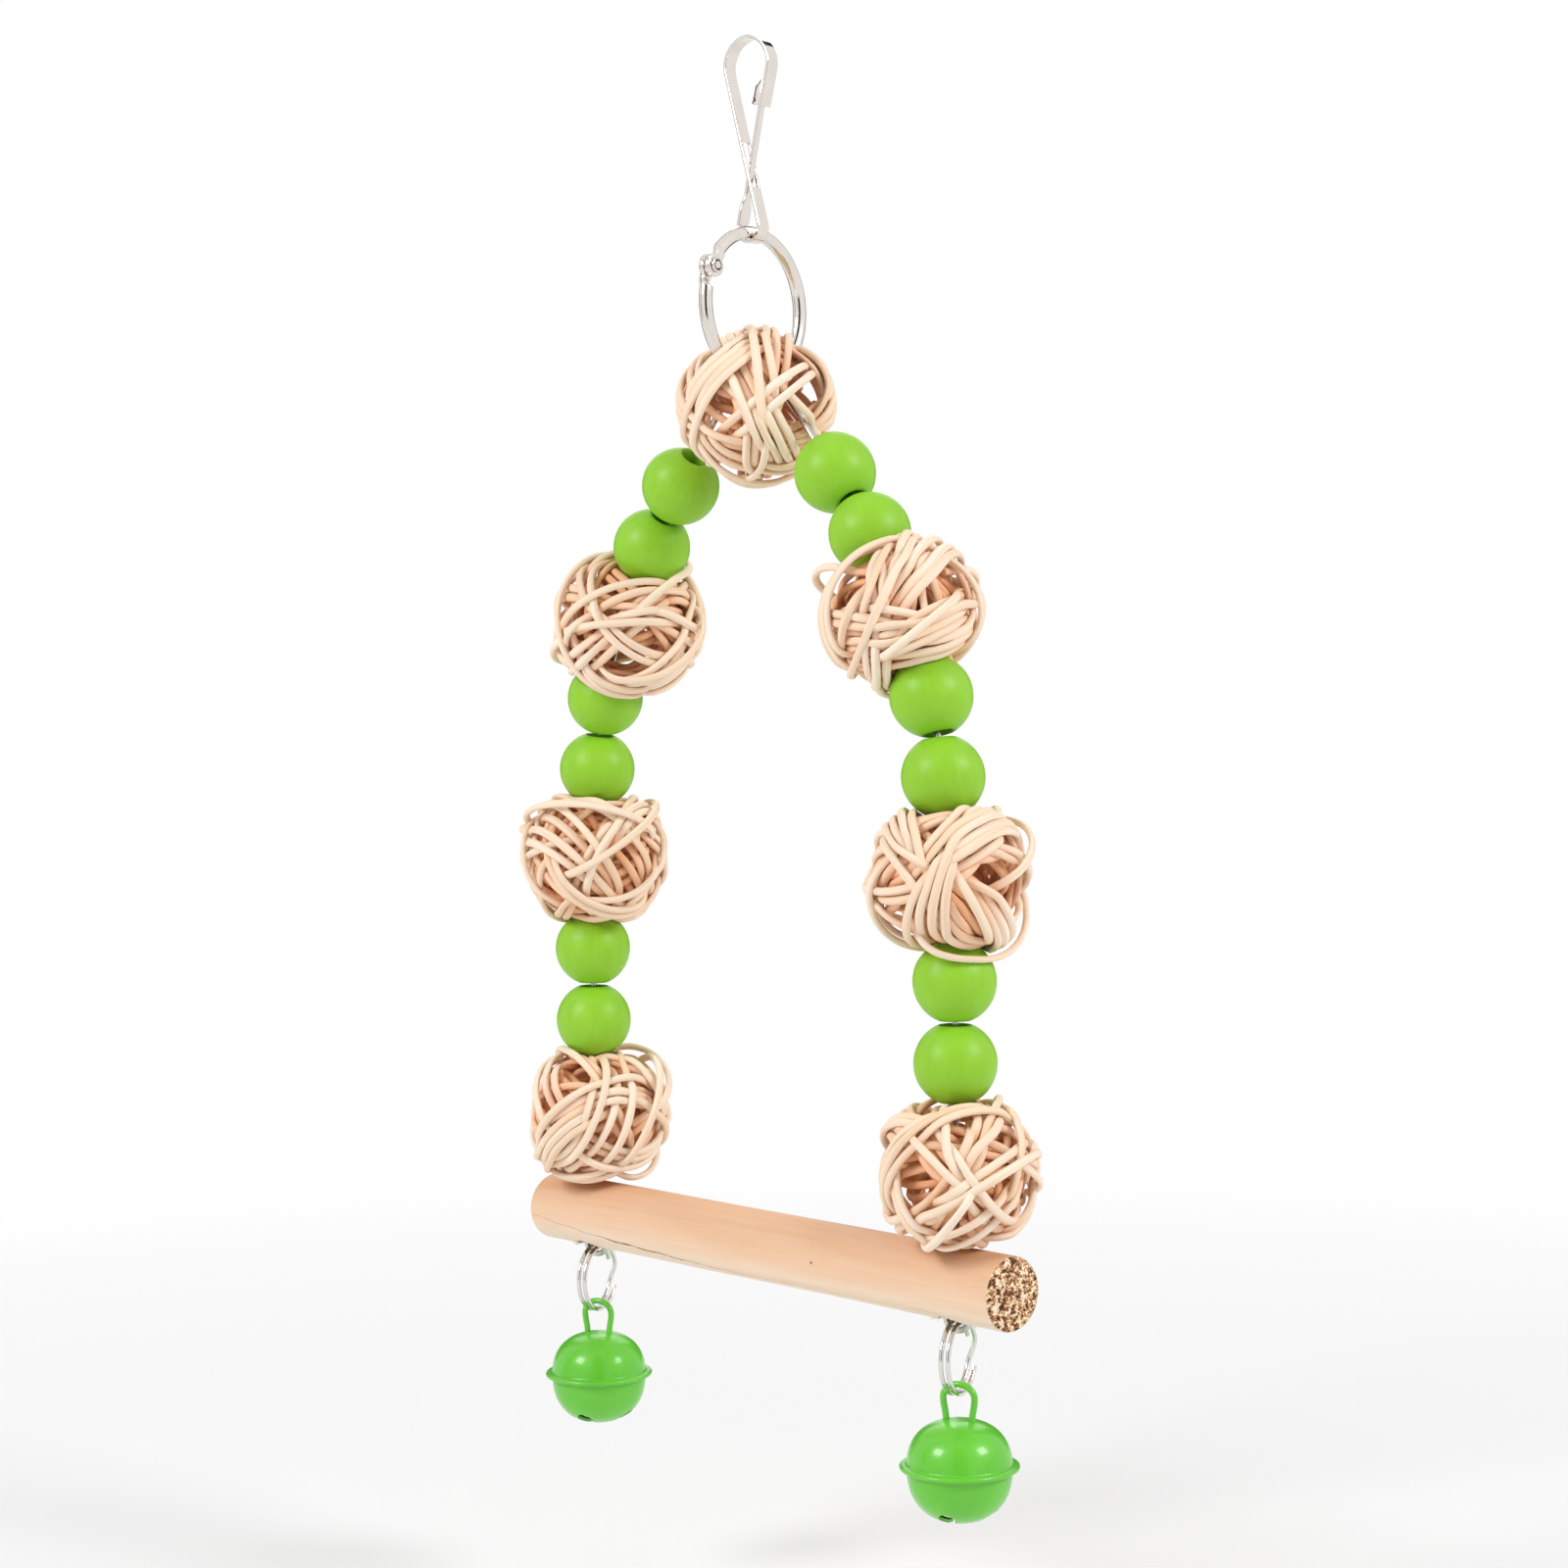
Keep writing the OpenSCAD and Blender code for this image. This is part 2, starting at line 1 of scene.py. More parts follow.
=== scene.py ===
# Looks of the hanging bird swing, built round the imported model.
# Shapes are worked out in millimetres in the part's own frame and stored in metres.
import json
from math import asin, atan2, cos, degrees, inf, pi, radians, sin, sqrt, tan
import bpy
import numpy as np
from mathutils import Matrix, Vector


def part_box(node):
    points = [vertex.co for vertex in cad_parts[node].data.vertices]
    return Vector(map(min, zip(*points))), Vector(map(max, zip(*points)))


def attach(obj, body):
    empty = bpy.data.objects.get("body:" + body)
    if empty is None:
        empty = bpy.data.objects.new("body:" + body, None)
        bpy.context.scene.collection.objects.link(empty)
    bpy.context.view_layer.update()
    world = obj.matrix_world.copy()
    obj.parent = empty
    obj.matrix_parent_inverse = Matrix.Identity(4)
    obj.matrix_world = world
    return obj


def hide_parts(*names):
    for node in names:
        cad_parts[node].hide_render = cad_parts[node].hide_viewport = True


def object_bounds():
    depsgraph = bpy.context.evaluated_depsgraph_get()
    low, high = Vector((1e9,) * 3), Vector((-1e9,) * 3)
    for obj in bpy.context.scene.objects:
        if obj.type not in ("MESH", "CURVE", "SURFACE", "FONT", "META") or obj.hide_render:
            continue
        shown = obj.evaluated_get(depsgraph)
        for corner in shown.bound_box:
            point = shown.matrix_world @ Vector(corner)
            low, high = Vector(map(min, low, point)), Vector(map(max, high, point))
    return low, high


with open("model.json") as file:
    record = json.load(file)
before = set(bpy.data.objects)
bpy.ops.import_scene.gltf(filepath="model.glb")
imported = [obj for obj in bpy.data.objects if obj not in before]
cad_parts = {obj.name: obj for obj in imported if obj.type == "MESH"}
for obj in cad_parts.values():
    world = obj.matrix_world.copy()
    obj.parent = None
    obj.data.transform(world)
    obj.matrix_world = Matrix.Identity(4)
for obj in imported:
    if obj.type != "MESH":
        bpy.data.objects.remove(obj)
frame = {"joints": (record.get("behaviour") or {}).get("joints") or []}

cad_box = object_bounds()
MM = 0.001
# The swing's sides, with their way along X
SIDES = {"left": -1, "right": 1}
JOINTS = {joint["name"]: joint for joint in frame["joints"]}


def place(joint):
    """Where a joint sits, in millimetres."""
    return np.array(JOINTS[joint]["pos_m"]) / MM


def axis_of(joint):
    """Unit direction of a joint's axis."""
    axis = np.array(JOINTS[joint]["axis"], float)
    return axis / np.linalg.norm(axis)


def middle_of(node):
    """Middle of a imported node's box, in millimetres."""
    low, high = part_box(node)
    return (np.array(low) / MM + np.array(high) / MM) / 2


# Real sizes, in millimetres
HOOK_W = 10.8
HOOK_DROP = 30.2
EYE_W = 5.6
STRIP_W = 3.0
STRIP_T = 0.6
GATE_W = 1.4
LIP_L = 7.0
CHANNEL_L = 4.7
CHANNEL_H = 1.6
SLOT_L = 9.0
SLOT_ABOVE = 0.72
RUN_GAP = 0.1
RING_OD = 30.0
RING_WIRE = 2.5
RIVET_ANGLE = 152.0
RIVET_D = 1.2
RIVET_HEAD_D = 2.8
RIVET_HEAD_H = 0.5
TAB_D = 4.4
LAP_L = 3.0
WIRE_D = 1.2
LEG_X = 51.0
BEND_STOPS = (0.0, 46.0, 54.0, 80.0, 90.0)
APEX_R = 8.0
SHOULDER_R = 80.0
SLACK_R = 220.0
WIRE_EYE_D = 3.2
BEAD_D = 15.0
BEAD_BORE = 5.0
BALL_D = 31.0
CANE_W = 1.65
CANE_T = 1.2
TOP_BALL_DROP = 6.8
PERCH_L = 129.0
PERCH_D = 13.4
PERCH_HOLE_D = 1.8
POCKET_D = 8.0
SPLIT_OD = 13.6
SPLIT_WIRE = 0.9
SPLIT_PITCH = 1.35
SPLIT_SINK = 0.5
SPLIT_TURN = 22.0
BELL_D = 18.8
BELL_H = 18.0
DOME_SHARE = 0.46
FLANGE_D = 21.4
SHELL_T = 0.5
LOOP_WIRE = 1.2
LOOP_W = 3.8
LOOP_LEG = 3.8
LOOP_BOW = 0.5
PELLET_D = 5.0
SLOT_W = 1.8
SLOT_SHARE = 0.6
SLOT_HOLE_D = 3.2

# Directions of the hook's own frame: across the strip's bends, and along its width
hook_axis = axis_of("ring_sway")
HOOK_ACROSS = np.array([hook_axis[1], -hook_axis[0], 0.0])
HOOK_WIDE = np.array([hook_axis[0], hook_axis[1], 0.0])
UP = np.array([0.0, 0.0, 1.0])

apex = place("arch_swing")
perch_z = middle_of("perch")[2]


def unit(v):
    """Vectors of unit length, along the last axis."""
    v = np.asarray(v, float)
    return v / np.maximum(np.linalg.norm(v, axis=-1, keepdims=True), 1e-12)


def direction(angle):
    """Unit vector in a plane, at an angle in degrees."""
    return np.array([cos(radians(angle)), sin(radians(angle))])


def smooth_step(x, low, high):
    """Smooth rise from 0 at low to 1 at high."""
    t = np.clip((np.asarray(x, float) - low) / (high - low), 0, 1)
    return t * t * (3 - 2 * t)


def add_object(name, data):
    """New object in the scene."""
    made = bpy.data.objects.new(name, data)
    bpy.context.scene.collection.objects.link(made)
    return made


def smooth(mesh, angle=None):
    """Shades a mesh smooth, with sharp edges past an angle in degrees."""
    mesh.polygons.foreach_set("use_smooth", [True] * len(mesh.polygons))
    if angle is not None:
        mesh.set_sharp_from_angle(angle=radians(angle))


def add_mesh(name, points, faces, smooth_angle=None):
    """New mesh object from points in millimetres."""
    mesh = bpy.data.meshes.new(name)
    mesh.from_pydata((np.asarray(points) * MM).tolist(), [], [tuple(map(int, f)) for f in faces])
    mesh.validate()
    smooth(mesh, smooth_angle)
    return add_object(name, mesh)


def dress(piece, body, material, nodes):
    """Gives a piece its material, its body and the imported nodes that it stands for."""
    piece.data.materials.clear()
    piece.data.materials.append(material)
    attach(piece, body)
    if nodes:
        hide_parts(*nodes)


def sweep_faces(n, m, closed=False, caps=True):
    """Faces of a skin over n rings of m points."""
    faces = []
    for i in range(n if closed else n - 1):
        a = i * m
        b = (i + 1) % n * m
        for k in range(m):
            q = (k + 1) % m
            faces.append((a + k, a + q, b + q, b + k))
    if caps and not closed:
        faces.append(tuple(range(m - 1, -1, -1)))
        faces.append(tuple((n - 1) * m + k for k in range(m)))
    return faces


def add_swept(name, parts, smooth_angle=None):
    """New piece of parts that are lists of rings, each with a skin over its rings and flat ends."""
    points, faces = [], []
    count = 0
    for rings in parts:
        rings = np.asarray(rings, float)
        n, m = rings.shape[:2]
        points.append(rings.reshape(-1, 3))
        faces.extend(tuple(i + count for i in f) for f in sweep_faces(n, m))
        count += n * m
    return add_mesh(name, np.concatenate(points), faces, smooth_angle)


def ring_angles(count):
    """Evenly spread angles round a full turn, in radians."""
    return np.arange(count) * 2 * pi / count


def circle_ring(centre, across, up, half_w, half_t, sides):
    """Ring of points on an ellipse."""
    a = ring_angles(sides)
    return centre + half_w * np.cos(a)[:, None] * across + half_t * np.sin(a)[:, None] * up


def path_headings(path):
    """Unit heading at each point of a path."""
    padded = np.concatenate([path[:1], path, path[-1:]])
    return unit(padded[2:] - padded[:-2])


# Rings that round a tube's end: shares of the tube's own ring, and of the depth they reach
END_ROUND = ((0.86, 0.55), (0.5, 0.93), (0.12, 1.0))


def round_ends(rings, centres, depth):
    """Adds shrunken rings at each end of a tube, so that its ends are rounded."""
    def cap(ring, centre, outwards):
        return [centre + (ring - centre) * share + outwards * depth * reach for share, reach in END_ROUND]

    first = unit(centres[0] - centres[1])
    last = unit(centres[-1] - centres[-2])
    return cap(rings[0], centres[0], first)[::-1] + list(rings) + cap(rings[-1], centres[-1], last)


def add_tube(name, path, side, radius, end_depth=None):
    """Round wire along a path whose bends lie square to side, with rounded or square-cut ends."""
    path = np.asarray(path, float)
    heading = path_headings(path)
    across = unit(np.cross(heading, side))
    up = np.cross(across, heading)
    sides = 14
    rings = [circle_ring(path[i], across[i], up[i], radius, radius, sides) for i in range(len(path))]
    if end_depth:
        rings = round_ends(rings, path, end_depth)
    return add_swept(name, [rings], 50)


def lathe(profile, segments, centre=(0, 0, 0), closed=True):
    """Points and faces of a profile of [radius, height] turned about Z. An open one has flat ends."""
    profile = np.asarray(profile, float)
    a = ring_angles(segments)
    spun = np.stack([np.outer(profile[:, 0], np.cos(a)), np.outer(profile[:, 0], np.sin(a)),
                     np.repeat(profile[:, 1:], segments, 1)], -1)
    return spun.reshape(-1, 3) + centre, sweep_faces(len(profile), segments, closed)


def oriented(points, centre, x, y, z=UP):
    """Points moved to a centre, with their axes along three directions."""
    return centre + points[:, :1] * x + points[:, 1:2] * y + points[:, 2:] * z


def arc_points(centre, r, start, stop, steps):
    """Points of an arc in a plane, with angles in degrees."""
    return [np.asarray(centre) + r * direction(start + (stop - start) * i / steps) for i in range(steps + 1)]


def cut(piece, points, faces):
    """Takes a shape of points and faces out of a piece."""
    cutter = add_mesh("cutter", points, faces)
    modifier = piece.modifiers.new("cut", "BOOLEAN")
    modifier.operation = "DIFFERENCE"
    modifier.solver = "EXACT"
    modifier.object = cutter
    bpy.context.view_layer.update()
    shaped = bpy.data.meshes.new_from_object(piece.evaluated_get(bpy.context.evaluated_depsgraph_get()))
    piece.modifiers.clear()
    old = piece.data
    piece.data = shaped
    shaped.name = old.name
    bpy.data.meshes.remove(old)
    bpy.data.objects.remove(cutter)


def store(piece, name, values):
    """Stores a number or a vector for each vertex."""
    values = np.asarray(values, np.float32)
    kind, key = ("FLOAT", "value") if values.ndim == 1 else ("FLOAT_VECTOR", "vector")
    piece.data.attributes.new(name, kind, "POINT").data.foreach_set(key, values.ravel())


# Materials


WHITE = (1, 1, 1, 1)
NICKEL = (229, 222, 215)
NICKEL_MARKS = (500, 500, 900)
# Place of the knot on the perch, in millimetres
KNOT_PLACE = np.array([20.0, -PERCH_D / 2, perch_z + 0.4])


def colour(r, g, b):
    """Linear colour from display values of 0 to 255."""
    def linear(c):
        c = c / 255
        return c / 12.92 if c <= 0.04045 else ((c + 0.055) / 1.055) ** 2.4
    return (linear(r), linear(g), linear(b), 1.0)


class Nodes:
    """A node tree, with short calls to add and join its nodes."""

    def __init__(self, tree):
        self.tree = tree

    def give(self, value, socket):
        """Joins an output to a socket, or sets the socket's own value."""
        if isinstance(value, bpy.types.NodeSocket):
            self.tree.links.new(value, socket)
        else:
            socket.default_value = value

    def node(self, kind, inputs=None, **settings):
        made = self.tree.nodes.new("ShaderNode" + kind)
        for key, value in settings.items():
            setattr(made, key, value)
        for key, value in (inputs or {}).items():
            self.give(value, made.inputs[key])
        return made


class Paint(Nodes):
    """A material, with a call for each thing that its nodes do."""

    def __init__(self, name, **values):
        self.material = bpy.data.materials.new(name)
        self.material.use_nodes = True
        super().__init__(self.material.node_tree)
        self.shader = self.tree.nodes["Principled BSDF"]
        self.set(**values)

    def set(self, **values):
        for key, value in values.items():
            self.give(value, self.shader.inputs[key.replace("_", " ")])

    def place(self):
        """The rest place on the piece, in metres."""
        return self.node("TexCoord").outputs["Object"]

    def mark(self, attribute, kind="Fac"):
        """What the mesh stores for each vertex: a number, or a Vector."""
        return self.node("Attribute", attribute_name=attribute).outputs[kind]

    def noise(self, vector, scale, detail=3.0, rough=0.55, distortion=0.0):
        """Noise at one scale, or at a scale for each axis."""
        if isinstance(scale, tuple):
            vector = self.node("Mapping", {"Vector": vector, "Scale": scale}).outputs["Vector"]
            scale = 1.0
        return self.node("TexNoise", {"Vector": vector, "Scale": scale, "Detail": detail,
                                      "Roughness": rough, "Distortion": distortion}).outputs["Fac"]

    def ramp(self, value, *stops):
        """Colours at stops of [position, red, green, blue], with display values of 0 to 255."""
        made = self.node("ValToRGB", {"Fac": value})
        elements = made.color_ramp.elements
        while len(elements) < len(stops):
            elements.new(0.5)
        for element, (position, *tone) in zip(elements, stops):
            element.position = position
            element.color = colour(*tone)
        return made.outputs["Color"]

    def range(self, value, from_low, from_high, to_low, to_high):
        return self.node("MapRange", {"Value": value, "From Min": from_low, "From Max": from_high,
                                      "To Min": to_low, "To Max": to_high}).outputs["Result"]

    def mix(self, factor, a, b):
        return self.node("Mix", {"Factor": factor, 6: a, 7: b}, data_type="RGBA").outputs[2]

    def maths(self, operation, a, b=0.0):
        return self.node("Math", {0: a, 1: b}, operation=operation).outputs[0]

    def bump(self, height, distance, strength):
        self.set(Normal=self.node("Bump", {"Height": height, "Distance": distance,
                                           "Strength": strength}).outputs["Normal"])


def cane_paint():
    """Peeled rattan: cream with fine fibres, with painted shade that makes it darker and warmer deeper
    inside the ball.
    """
    p = Paint("rattan_cane", Roughness=0.62, Specular_IOR_Level=0.32)
    strand = p.mark("strand", "Vector")
    fibres = p.noise(strand, (2400, 2400, 60), 4.0, 0.6)
    bands = p.noise(strand, (300, 300, 45), 2.0, 0.5)
    base = p.ramp(p.mark("tone"), (0.0, 247, 214, 181), (0.5, 252, 229, 205), (1.0, 255, 240, 223))
    streaks = p.ramp(fibres, (0.3, 202, 152, 106), (0.46, 248, 222, 192), (0.7, 255, 246, 232))
    patches = p.ramp(bands, (0.35, 238, 200, 164), (0.6, 254, 236, 216))
    base = p.mix(0.28, p.mix(0.36, base, streaks), patches)
    # Painted shade: canes that lie deeper inside the ball are darkened and warmed
    base = p.mix(p.range(p.mark("depth"), 0.2, 1.2, 0.0, 0.75), base, colour(244, 168, 106))
    p.set(Base_Color=base, Roughness=p.range(fibres, 0.3, 0.7, 0.68, 0.5))
    p.bump(fibres, 0.00006, 0.7)
    return p.material


def bead_paint():
    """Satin leaf green over turned wood, with the grain faintly raised."""
    p = Paint("bead_paint", Roughness=0.42, Specular_IOR_Level=0.34)
    grain = p.mark("grain", "Vector")
    lines = p.noise(grain, (900, 900, 130), 4.0, 0.6, 0.4)
    soft = p.noise(grain, (160, 160, 60), 2.0)
    base = p.ramp(lines, (0.3, 140, 198, 42), (0.55, 144, 203, 47), (0.8, 149, 207, 56))
    base = p.mix(p.range(soft, 0.3, 0.7, 0.0, 0.4), base, colour(141, 200, 43))
    p.set(Base_Color=base, Roughness=p.range(lines, 0.3, 0.7, 0.38, 0.46))
    p.bump(lines, 0.00002, 0.1)
    return p.material


def perch_paint():
    """Sanded pale wood: fine grain along the perch, speckled ends, a knot and a drying crack, with painted
    light that makes it paler towards its underside and darker towards its top.
    """
    p = Paint("perch_wood", Roughness=0.6, Specular_IOR_Level=0.3)
    where = p.place()
    long_grain = p.noise(where, (26, 520, 520), 5.0, 0.62, 0.5)
    broad = p.noise(where, (14, 120, 120), 3.0, 0.5, 1.2)
    pores = p.noise(where, (120, 2600, 2600), 3.0, 0.6)
    cells = p.noise(where, (300, 1150, 1150), 4.0, 0.8)
    wander = p.range(p.noise(where, (500, 900, 900), 2.0), 0.3, 0.7, 0.5, 1.4)
    # Painted light: the wood is paler and whiter towards the underside, as if lit from below, and darker and
    # pinker towards the top
    height = p.node("SeparateXYZ", {"Vector": where}).outputs["Z"]
    low_z, high_z = (perch_z - PERCH_D / 2) * MM, (perch_z + PERCH_D / 2) * MM
    rise = p.maths("ADD", p.range(height, low_z, high_z, 0.0, 1.0), p.range(broad, 0.3, 0.7, -0.12, 0.12))
    base = p.ramp(rise, (0.0, 252, 237, 222), (0.22, 246, 221, 198), (0.42, 238, 200, 168),
                  (0.65, 232, 188, 152), (1.0, 216, 163, 124))
    lines = p.ramp(long_grain, (0.3, 219, 164, 122), (0.46, 240, 200, 166), (0.72, 250, 226, 202))
    flecks = p.ramp(pores, (0.3, 206, 148, 108), (0.42, 243, 206, 172))
    base = p.mix(0.1, p.mix(0.22, base, lines), flecks)
    end_mask = p.mark("end_grain")
    end_tone = p.ramp(cells, (0.4, 44, 20, 6), (0.46, 140, 84, 42), (0.5, 212, 156, 104),
                      (0.54, 248, 214, 170), (0.6, 255, 244, 222))
    base = p.mix(end_mask, base, end_tone)
    half_width = p.maths("MULTIPLY", p.mark("crack_width"), wander)
    from_crack = p.maths("DIVIDE", p.maths("ABSOLUTE", p.mark("crack_across")), half_width)
    crack = p.maths("MULTIPLY", p.range(from_crack, 0.5, 1.0, 1.0, 0.0), p.mark("crack_strength"))
    base = p.mix(crack, base, colour(74, 40, 22))
    knot = p.node("VectorMath", {0: where, 1: KNOT_PLACE * MM}, operation="DISTANCE").outputs["Value"]
    base = p.mix(p.range(knot, 0.0002, 0.00034, 0.85, 0.0), base, colour(96, 56, 30))
    p.set(Base_Color=base)
    p.bump(p.mix(end_mask, long_grain, cells), 0.00006, 0.6)
    return p.material


def metal_paint(name, tone, roughness, mark_scale, wear=0.06, groove_shade_and_dirt=False):
    """Plated steel with faint polishing marks, darker where its mesh is marked, as painted shade and dirt.
    """
    p = Paint(name, Metallic=1.0, Roughness=roughness)
    where = p.place()
    marks = p.noise(where, mark_scale, 4.0, 0.6)
    cloud = p.noise(where, 260.0)
    tone = colour(*tone)
    dark = tuple(c * 0.9 for c in tone[:3]) + (1.0,)
    base = p.mix(p.range(cloud, 0.35, 0.7, 0.0, 0.6), tone, dark)
    # Painted shade and dirt: the marked points are darkened towards a dark grey-brown
    if groove_shade_and_dirt:
        base = p.mix(p.mark("shade_and_dirt_mark"), base, colour(52, 46, 42))
    p.set(Base_Color=base, Roughness=p.range(marks, 0.3, 0.7, roughness - wear / 2, roughness + wear))
    p.bump(marks, 0.00002, 0.25)
    return p.material


def enamel_paint():
    """Glossy green enamel with a slight orange peel."""
    p = Paint("bell_enamel", Roughness=0.3, Specular_IOR_Level=0.4, Coat_Weight=0.35, Coat_Roughness=0.12)
    where = p.place()
    peel = p.noise(where, 900.0, 2.0)
    tone = p.ramp(p.noise(where, 140.0), (0.3, 97, 195, 44), (0.7, 104, 203, 50))
    p.set(Base_Color=tone, Roughness=p.range(peel, 0.3, 0.7, 0.26, 0.36))
    p.bump(peel, 0.00003, 0.1)
    return p.material


cane = cane_paint()
bead_green = bead_paint()
perch_wood = perch_paint()
nickel = metal_paint("bright_nickel", NICKEL, 0.1, NICKEL_MARKS)
nickel_shade_and_dirt = metal_paint("nickel_shade_and_dirt", NICKEL, 0.12, NICKEL_MARKS, groove_shade_and_dirt=True)
wire_steel = metal_paint("arch_steel", (205, 201, 196), 0.2, (700, 700, 700))
ring_steel = metal_paint("split_ring_steel", (226, 223, 220), 0.1, (800, 800, 800))
pellet_steel = metal_paint("pellet_steel", (190, 190, 190), 0.3, (900, 900, 900), 0.12)
enamel = enamel_paint()


# Hook and gate


# Radius of the strip's long edges, and width of the narrow bands beside them
EDGE_R = 0.16
EDGE_BAND = 0.05
# Share of the channel that the gate reaches into, and where it narrows on its way to the crossing
GATE_REACH = 0.8
NARROW_FROM = 0.3
NARROW_TO = 0.62
# Crowned face of a channel wall: shares of its outline, and of half its thickness there
CROWN = ((0.06, 1.0), (0.5, 0.96), (0.78, 0.88), (0.93, 0.74), (1.0, 0.4))


def rounded_section(width, thickness):
    """Outline of a strip's section with rounded corners, as [across, up], with narrow edge bands."""
    radius = min(EDGE_R, 0.45 * thickness, 0.45 * width)
    outline = []
    for sx, sy, start in ((1, 1, 0), (-1, 1, 90), (-1, -1, 180), (1, -1, 270)):
        centre = np.array([sx * (width / 2 - radius), sy * (thickness / 2 - radius)])
        outline.append(centre + radius * direction(start) - EDGE_BAND * direction(start + 90))
        outline.extend(arc_points(centre, radius, start, start + 90, 3))
        outline.append(centre + radius * direction(start + 90) + EDGE_BAND * direction(start + 180))
    return np.array(outline)


def hook_point(p, wide):
    """Point of the hook's plane, [across, height], in space."""
    return p[0] * HOOK_ACROSS + p[1] * UP + wide * HOOK_WIDE


def strip_rings(path, width, thickness, wide=0.0):
    """Rings of a strip along a path in the hook's plane. The width may change along it."""
    path = np.asarray(path, float)
    heading = path_headings(path)
    normals = np.stack([-heading[:, 1], heading[:, 0]], 1)
    widths = np.broadcast_to(width, len(path))
    rings = []
    for point, normal, w in zip(path, normals, widths):
        section = rounded_section(w, thickness)
        rings.append([hook_point(point + normal * up, wide + across) for across, up in section])
    return rings


def plate_rings(outline, low, high):
    """Slightly crowned plate: an outline in the hook's plane, thick along the strip's width."""
    centre = np.mean(outline, 0)
    middle = (high + low) / 2
    half_t = (high - low) / 2
    layers = [(inset, middle - half_t * share) for inset, share in CROWN]
    layers += [(inset, middle + half_t * share) for inset, share in CROWN[::-1]]
    return [[hook_point(centre + (p - centre) * inset, wide) for p in outline] for inset, wide in layers]


def line_points(start, stop, steps):
    """Points of a straight line, ends included."""
    return [start + (stop - start) * i / steps for i in range(steps + 1)]


crown_r = (HOOK_W - STRIP_T) / 2
eye_r = (EYE_W - STRIP_T) / 2
lean = degrees(asin((crown_r + eye_r) / HOOK_DROP))
leg_l = HOOK_DROP * cos(radians(lean))
leg_top = crown_r * direction(180 + lean)
lip_top = crown_r * direction(-lean)
leg_way = direction(lean - 90)
lip_way = direction(-90 - lean)
cross_l = crown_r / tan(radians(lean))


def make_hook_body():
    """Bent strip: lip with a folded channel, crown, slotted leg and eye."""
    slot_from = cross_l - SLOT_L * SLOT_ABOVE
    slot_to = slot_from + SLOT_L
    slot_w = GATE_W + 4 * RUN_GAP
    rail_w = (STRIP_W - slot_w) / 2
    lip_end = lip_top + LIP_L * lip_way
    upper = line_points(lip_end, lip_top, 8)[:-1] + arc_points((0, 0), crown_r, -lean, 180 + lean, 48)
    upper += line_points(leg_top, leg_top + slot_from * leg_way, 8)[1:]
    parts = [strip_rings(upper, STRIP_W, STRIP_T)]
    eye_end = 180 - lean + degrees((STRIP_T / 2 + RUN_GAP) / eye_r)
    lower = line_points(leg_top + slot_to * leg_way, leg_top + leg_l * leg_way, 5)[:-1]
    lower += arc_points((0, -HOOK_DROP), eye_r, 360 + lean, eye_end, 40)
    parts.append(strip_rings(lower, STRIP_W, STRIP_T))
    # The slot's rails bite into the strip above and below, and lie a hair inside its faces
    bite = 0.4
    rail_t = STRIP_T * 0.98
    aside = (STRIP_W - rail_w) / 2 * 0.995
    rail = line_points(leg_top + (slot_from - bite) * leg_way, leg_top + (slot_to + bite) * leg_way, 10)
    for way in (-1, 1):
        parts.append(strip_rings(rail, rail_w, rail_t, way * aside))
    # The channel's walls stand on the lip, cut by the crown's inner round
    inward = np.array([lip_way[1], -lip_way[0]])
    wall_h = CHANNEL_H + STRIP_T / 2
    wall_from = LIP_L - CHANNEL_L
    bar_r = crown_r - STRIP_T / 2
    outline = [(LIP_L, 0.0), (LIP_L, wall_h)]
    for out in np.linspace(crown_r - wall_h, sqrt(bar_r ** 2 - wall_from ** 2), 7):
        outline.append((sqrt(bar_r ** 2 - out ** 2), crown_r - out))
    outline.append((wall_from, 0.0))
    outline = [lip_top + down * lip_way + high * inward for down, high in outline]
    for way in (-1, 1):
        parts.append(plate_rings(outline, way * (STRIP_W / 2 - STRIP_T), way * STRIP_W / 2))
    dress(add_swept("hook_body_strip", parts, 40), "hook", nickel, ["hook_body"])


def make_gate():
    """Springy tongue: wide at its root, narrow from the slot up to the lip."""
    root = eye_r * direction(180 - lean) + np.array([0, -HOOK_DROP])
    gate_l = leg_l - LIP_L + CHANNEL_L * GATE_REACH
    gate_lean = lean - degrees(asin((STRIP_T + RUN_GAP) / (leg_l - LIP_L)))
    way = direction(90 - gate_lean)
    steps = 40
    path = line_points(root, root + gate_l * way, steps)
    along = np.arange(steps + 1) / steps * gate_l
    free_l = leg_l - cross_l
    narrow = smooth_step(along, free_l * NARROW_FROM, free_l * NARROW_TO)
    width = STRIP_W + (GATE_W - STRIP_W) * narrow
    tongue = strip_rings(path, width, STRIP_T)
    dress(add_swept("hook_gate_tongue", [tongue], 40), "gate", nickel, ["hook_gate"])


# Binder ring


ring_r = (RING_OD - RING_WIRE) / 2
rivet = place("ring_opening")
# Half of a rivet head's section: shares of its radius and of its height
RIVET_HEAD = ((0.93, 0.0), (1.0, 0.18), (1.0, 0.5), (0.93, 0.82), (0.82, 0.95), (0.74, 0.93), (0.69, 0.55),
              (0.62, 0.4), (0.55, 0.55), (0.5, 0.93), (0.4, 1.0), (0.14, 1.0), (0.01, 1.0))
# The groove's middle and half its width, as shares of the head's radius
GROOVE_AT = 0.62
GROOVE_HALF = 0.08


def ring_way(angle):
    """Unit vector in the binder ring's plane."""
    d = direction(angle)
    return d[0] * HOOK_WIDE + d[1] * UP


ring_centre = rivet - ring_r * ring_way(RIVET_ANGLE)


def ring_point(angle, out=0.0, side=0.0):
    """Point of the binder ring's wire, with steps outwards and towards one side."""
    return ring_centre + (ring_r + out) * ring_way(angle) + side * HOOK_ACROSS


